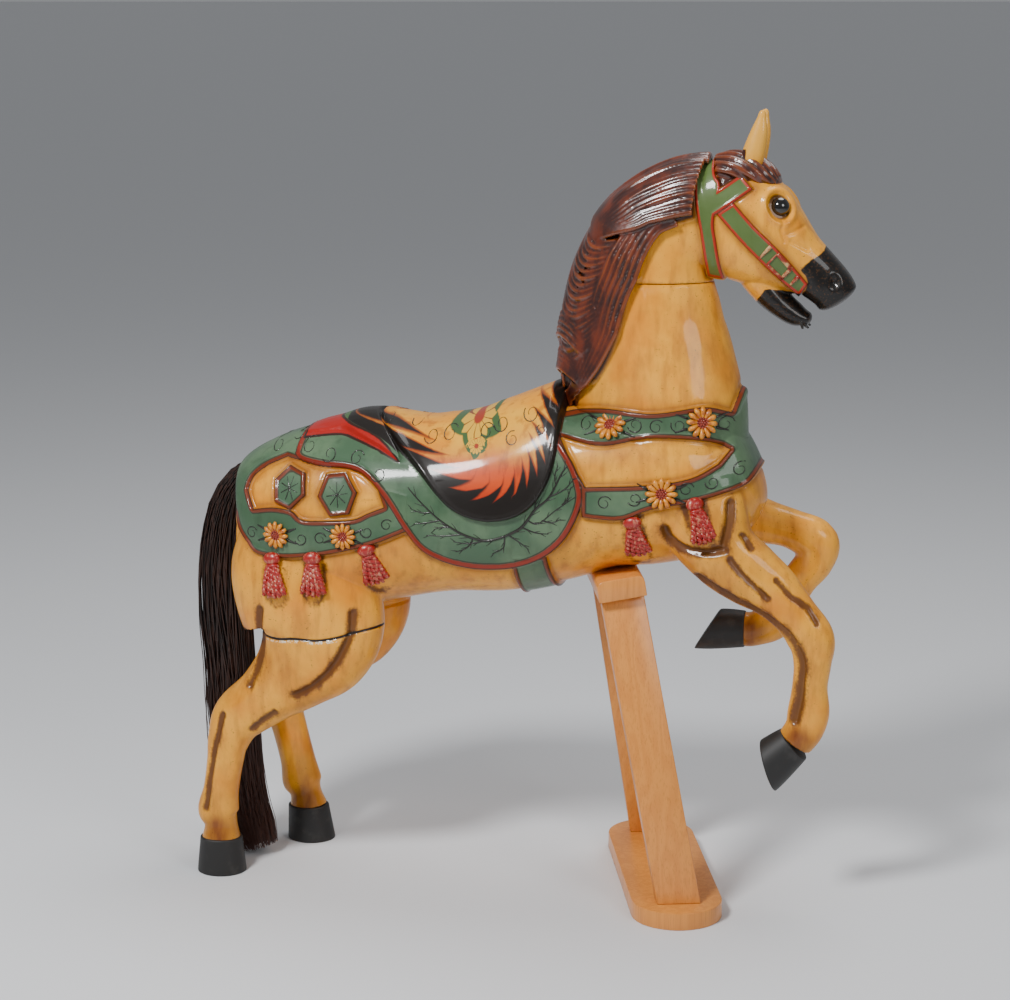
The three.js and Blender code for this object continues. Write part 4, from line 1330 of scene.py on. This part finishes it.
high = coat.axis("Z")
round_saddle = (coat.axis("X") + 0.018).sum("ARCTAN2", 0.78 - high)
teeth = (round_saddle * 3.6 + saddle * 0.045).sum("PINGPONG", 0.5) * 2
black_rim = 7 + 19 * high.under(0.7, 0.05)
flame = saddle * -1 - black_rim - teeth * 32 + wobble * 2
fire = coat.mix(high.between(0.668, 0.72, 0.03), colour("a81408"), colour("cf4a0a"))
fire = coat.mix(high.over(0.725, 0.03), fire, colour("e29310"))
fire = coat.mix(blotch.over(0.52, 0.1) * high.over(0.72, 0.02) * 0.6, fire, colour("edb536"))
fire = coat.mix(grain.over(0.6, 0.1) * 0.4, fire, colour("7c1c08"))
seat = coat.mix(flame.over(6, 6), colour("17110d"), fire)
seat = coat.mix(flame.between(2, 12, 4) * high.over(0.69, 0.03) * 0.6, seat, colour("8c2608"))
petal_x, petal_z = coat.layer("flower_x"), coat.layer("flower_z")
radius = (petal_x * petal_x + petal_z * petal_z).sum("SQRT")
round_flower = petal_x.sum("ARCTAN2", petal_z)
petal, leaf = ((round_flower * often).sum("PINGPONG", 0.5) for often in (1.91, 0.8))
seat_flower = coat.mix((radius - leaf * 1.1).under(1.05, 0.05), seat, colour("3f5a32"))
seat_flower = coat.mix((radius - petal * 0.5).under(0.78, 0.04), seat_flower, colour("d9a52e"))
seat_flower = coat.mix((petal * 2).under(0.12, 0.06) * radius.under(0.85, 0.05), seat_flower,
    colour("7a3c14"))
seat = coat.mix(radius.under(0.3, 0.05), seat_flower, colour("9a3418"))

leather = coat.mix(cantle.over(-3, 0.8), colour("a0140a"), colour("2a140c"))
olive = coat.mix(0.65, sage, colour("4f6118"))
bridle_red = coat.mix((bridle + wobble * 0.2).over(-4.6, 0.6), olive, colour("a32610"))
bridle_red = coat.mix(bridle.over(-0.9, 0.5), bridle_red, colour("4a1c10"))

look = coat.mix(harness.under(0, 0.5), ochre, strap)
look = coat.mix(blanket.under(0, 0.5), look, cloth)
look = coat.mix(cantle.under(0, 0.5), look, leather)
look = coat.mix(saddle.under(0, 0.6), look, seat)
look = coat.mix(bridle.under(0, 0.4), look, bridle_red)
black_lip = (muzzle + wobble * 3).under(0, 1.2)
look = coat.mix(black_lip, look, coat.mix(speck.over(0.6, 0.06), colour("0d0a08"), colour("3a2412")))
look = coat.mix(coat.layer("lid").under(0.74, 0.08) * 0.85, look, colour("2a1408"))
look = coat.mix(coat.layer("mane_edge").under(2, 4) * saddle.over(0, 1), look, colour("2a1008"))
look = coat.mix(coat.layer("tuft").under(0, 1) * bridle.over(0, 0.5), look, colour("3b160a"))
coat.set("Base Color", look)
coat.set("Roughness", 0.34 + 0.22 * blotch + stain_and_shadow * 0.15)
coat.bump(grain + speck * 0.4, 0.18)
print("nodes in the coat:", len(coat.tree.nodes))

# %% [markdown]
# ## The smaller paints
# Mane and tassels are paler on their ridges, as a painted highlight, and darker in their hollows, as painted
# shade. Hooves, glass, petals, brush lines and horsehair need a colour and a little noise each, and the pine
# has rings stretched along its boards.

# %% Paints of the other pieces
wood_hair = Paint("mane_paint", Roughness=0.32, Coat_Weight=0.7, Coat_Roughness=0.12)
streak = wood_hair.noise(34, 4, (1, 1, 0.5))
brown = wood_hair.mix(streak.over(0.52, 0.14), colour("30100a"), colour("5e220c"))
sheen_and_shade = wood_hair.layer("sheen_and_shade")
# painted highlight: orange-brown on the ridges of the locks
brown = wood_hair.mix(sheen_and_shade.over(0.53, 0.03) * 0.8, brown, colour("96480f"))
# painted shade: near-black brown in the hollows between the locks
brown = wood_hair.mix(sheen_and_shade.under(0.47, 0.03) * 0.8, brown, colour("1c0b06"))
wood_hair.set("Base Color", brown)

hoof_paint = Paint("hoof_paint", Roughness=0.55)
scuffed = hoof_paint.noise(40, 4).over(0.62, 0.1) * 0.5
hoof_paint.set("Base Color", hoof_paint.mix(scuffed, colour("1c1b1a"), colour("3a3734")))
eye_paint = Paint("eye_glass", Base_Color=colour("0b0806"), Roughness=0.05, Coat_Weight=1.0,
    Coat_Roughness=0.02)

rope = Paint("tassel_paint", Roughness=0.4, Coat_Weight=0.4, Coat_Roughness=0.2)
sheen_and_shade = rope.layer("sheen_and_shade")
# pale streaks on the ropes' ridges: partly worn paint, partly painted highlight
pale = rope.noise(240, 3, (1, 1, 0.4)).over(0.58, 0.08) * sheen_and_shade.over(0.52, 0.05)
red = rope.mix(pale * 0.5, colour("9c120a"), colour("e0a07a"))
# painted shade: dark red in the hollows of the twist
rope.set("Base Color", rope.mix(sheen_and_shade.under(0.46, 0.03) * 0.7, red, colour("4a120c")))
petal_paint = Paint("petal_paint", Roughness=0.4, Coat_Weight=0.4, Coat_Roughness=0.2)
fleck = petal_paint.noise(120, 3)
petal_paint.set("Base Color", petal_paint.mix(fleck.over(0.55, 0.12), colour("d78a1c"), colour("a65212")))
heart_paint = Paint("heart_paint", Base_Color=colour("8e2f1c"), Roughness=0.4, Coat_Weight=0.4)

line_paint = Paint("line_paint", Base_Color=colour("17120b"), Roughness=0.4, Coat_Weight=0.4)
buckle_paint = Paint("buckle_paint", Roughness=0.4, Coat_Weight=0.4)
rubbed = buckle_paint.noise(90, 3).over(0.56, 0.1)
buckle_paint.set("Base Color", buckle_paint.mix(rubbed, colour("8e2410"), colour("c9a06a")))

hair_paint = Paint("horsehair", Roughness=0.38)
tip = hair_paint.axis("Z")
shade = hair_paint.mix(hair_paint.noise(300, 2, (1, 1, 0.03)).over(0.5, 0.15), colour("120a07"),
    colour("38221a"))
hair_paint.set("Base Color", hair_paint.mix(tip.under(0.22, 0.2) * 0.6, shade, colour("4a2517")))

pine = Paint("pine", Roughness=0.4, Coat_Weight=0.3, Coat_Roughness=0.2)
rings = pine.noise(22, 2, (1, 1, 0.02))
bands = (rings * 7).sum("PINGPONG", 0.5) * 2
honey = pine.mix(bands.over(0.5, 0.4) * 0.35, colour("d98d3c"), colour("c07028"))
pine.set("Base Color",
    pine.mix(pine.noise(500, 2, (1, 1, 0.04)).over(0.6, 0.1) * 0.35, honey, colour("a8601f")))
pine.bump(bands, 0.06)
print("materials:", len(bpy.data.materials))

# %% [markdown]
# ## Handing over
# Every piece gets its material, rides on the one body there is and says which measured solid it stands for.

# %% Dress the pieces
carved = [
    (body, coat), (head, coat), (mane, wood_hair), (hooves, hoof_paint), (tassels, rope),
    (petals, petal_paint),
    (hearts, heart_paint), (strokes, line_paint), (buckle, buckle_paint), (chin_tuft, line_paint),
]
for obj, paint, slot, node in [
    *[(each, paint, "painted_wood", "horse") for each, paint in carved],
    (tail, hair_paint, "horsehair", "tail"),
    *[(eye, eye_paint, "eye_glass", node) for eye, node in eyes],
    *[(board, pine, "pine", node) for board, node in stand],
]:
    obj.data.materials.clear()
    obj.data.materials.append(paint.material)
    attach(obj, "root")
    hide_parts(node)
    print(obj.name, "stands for", node)
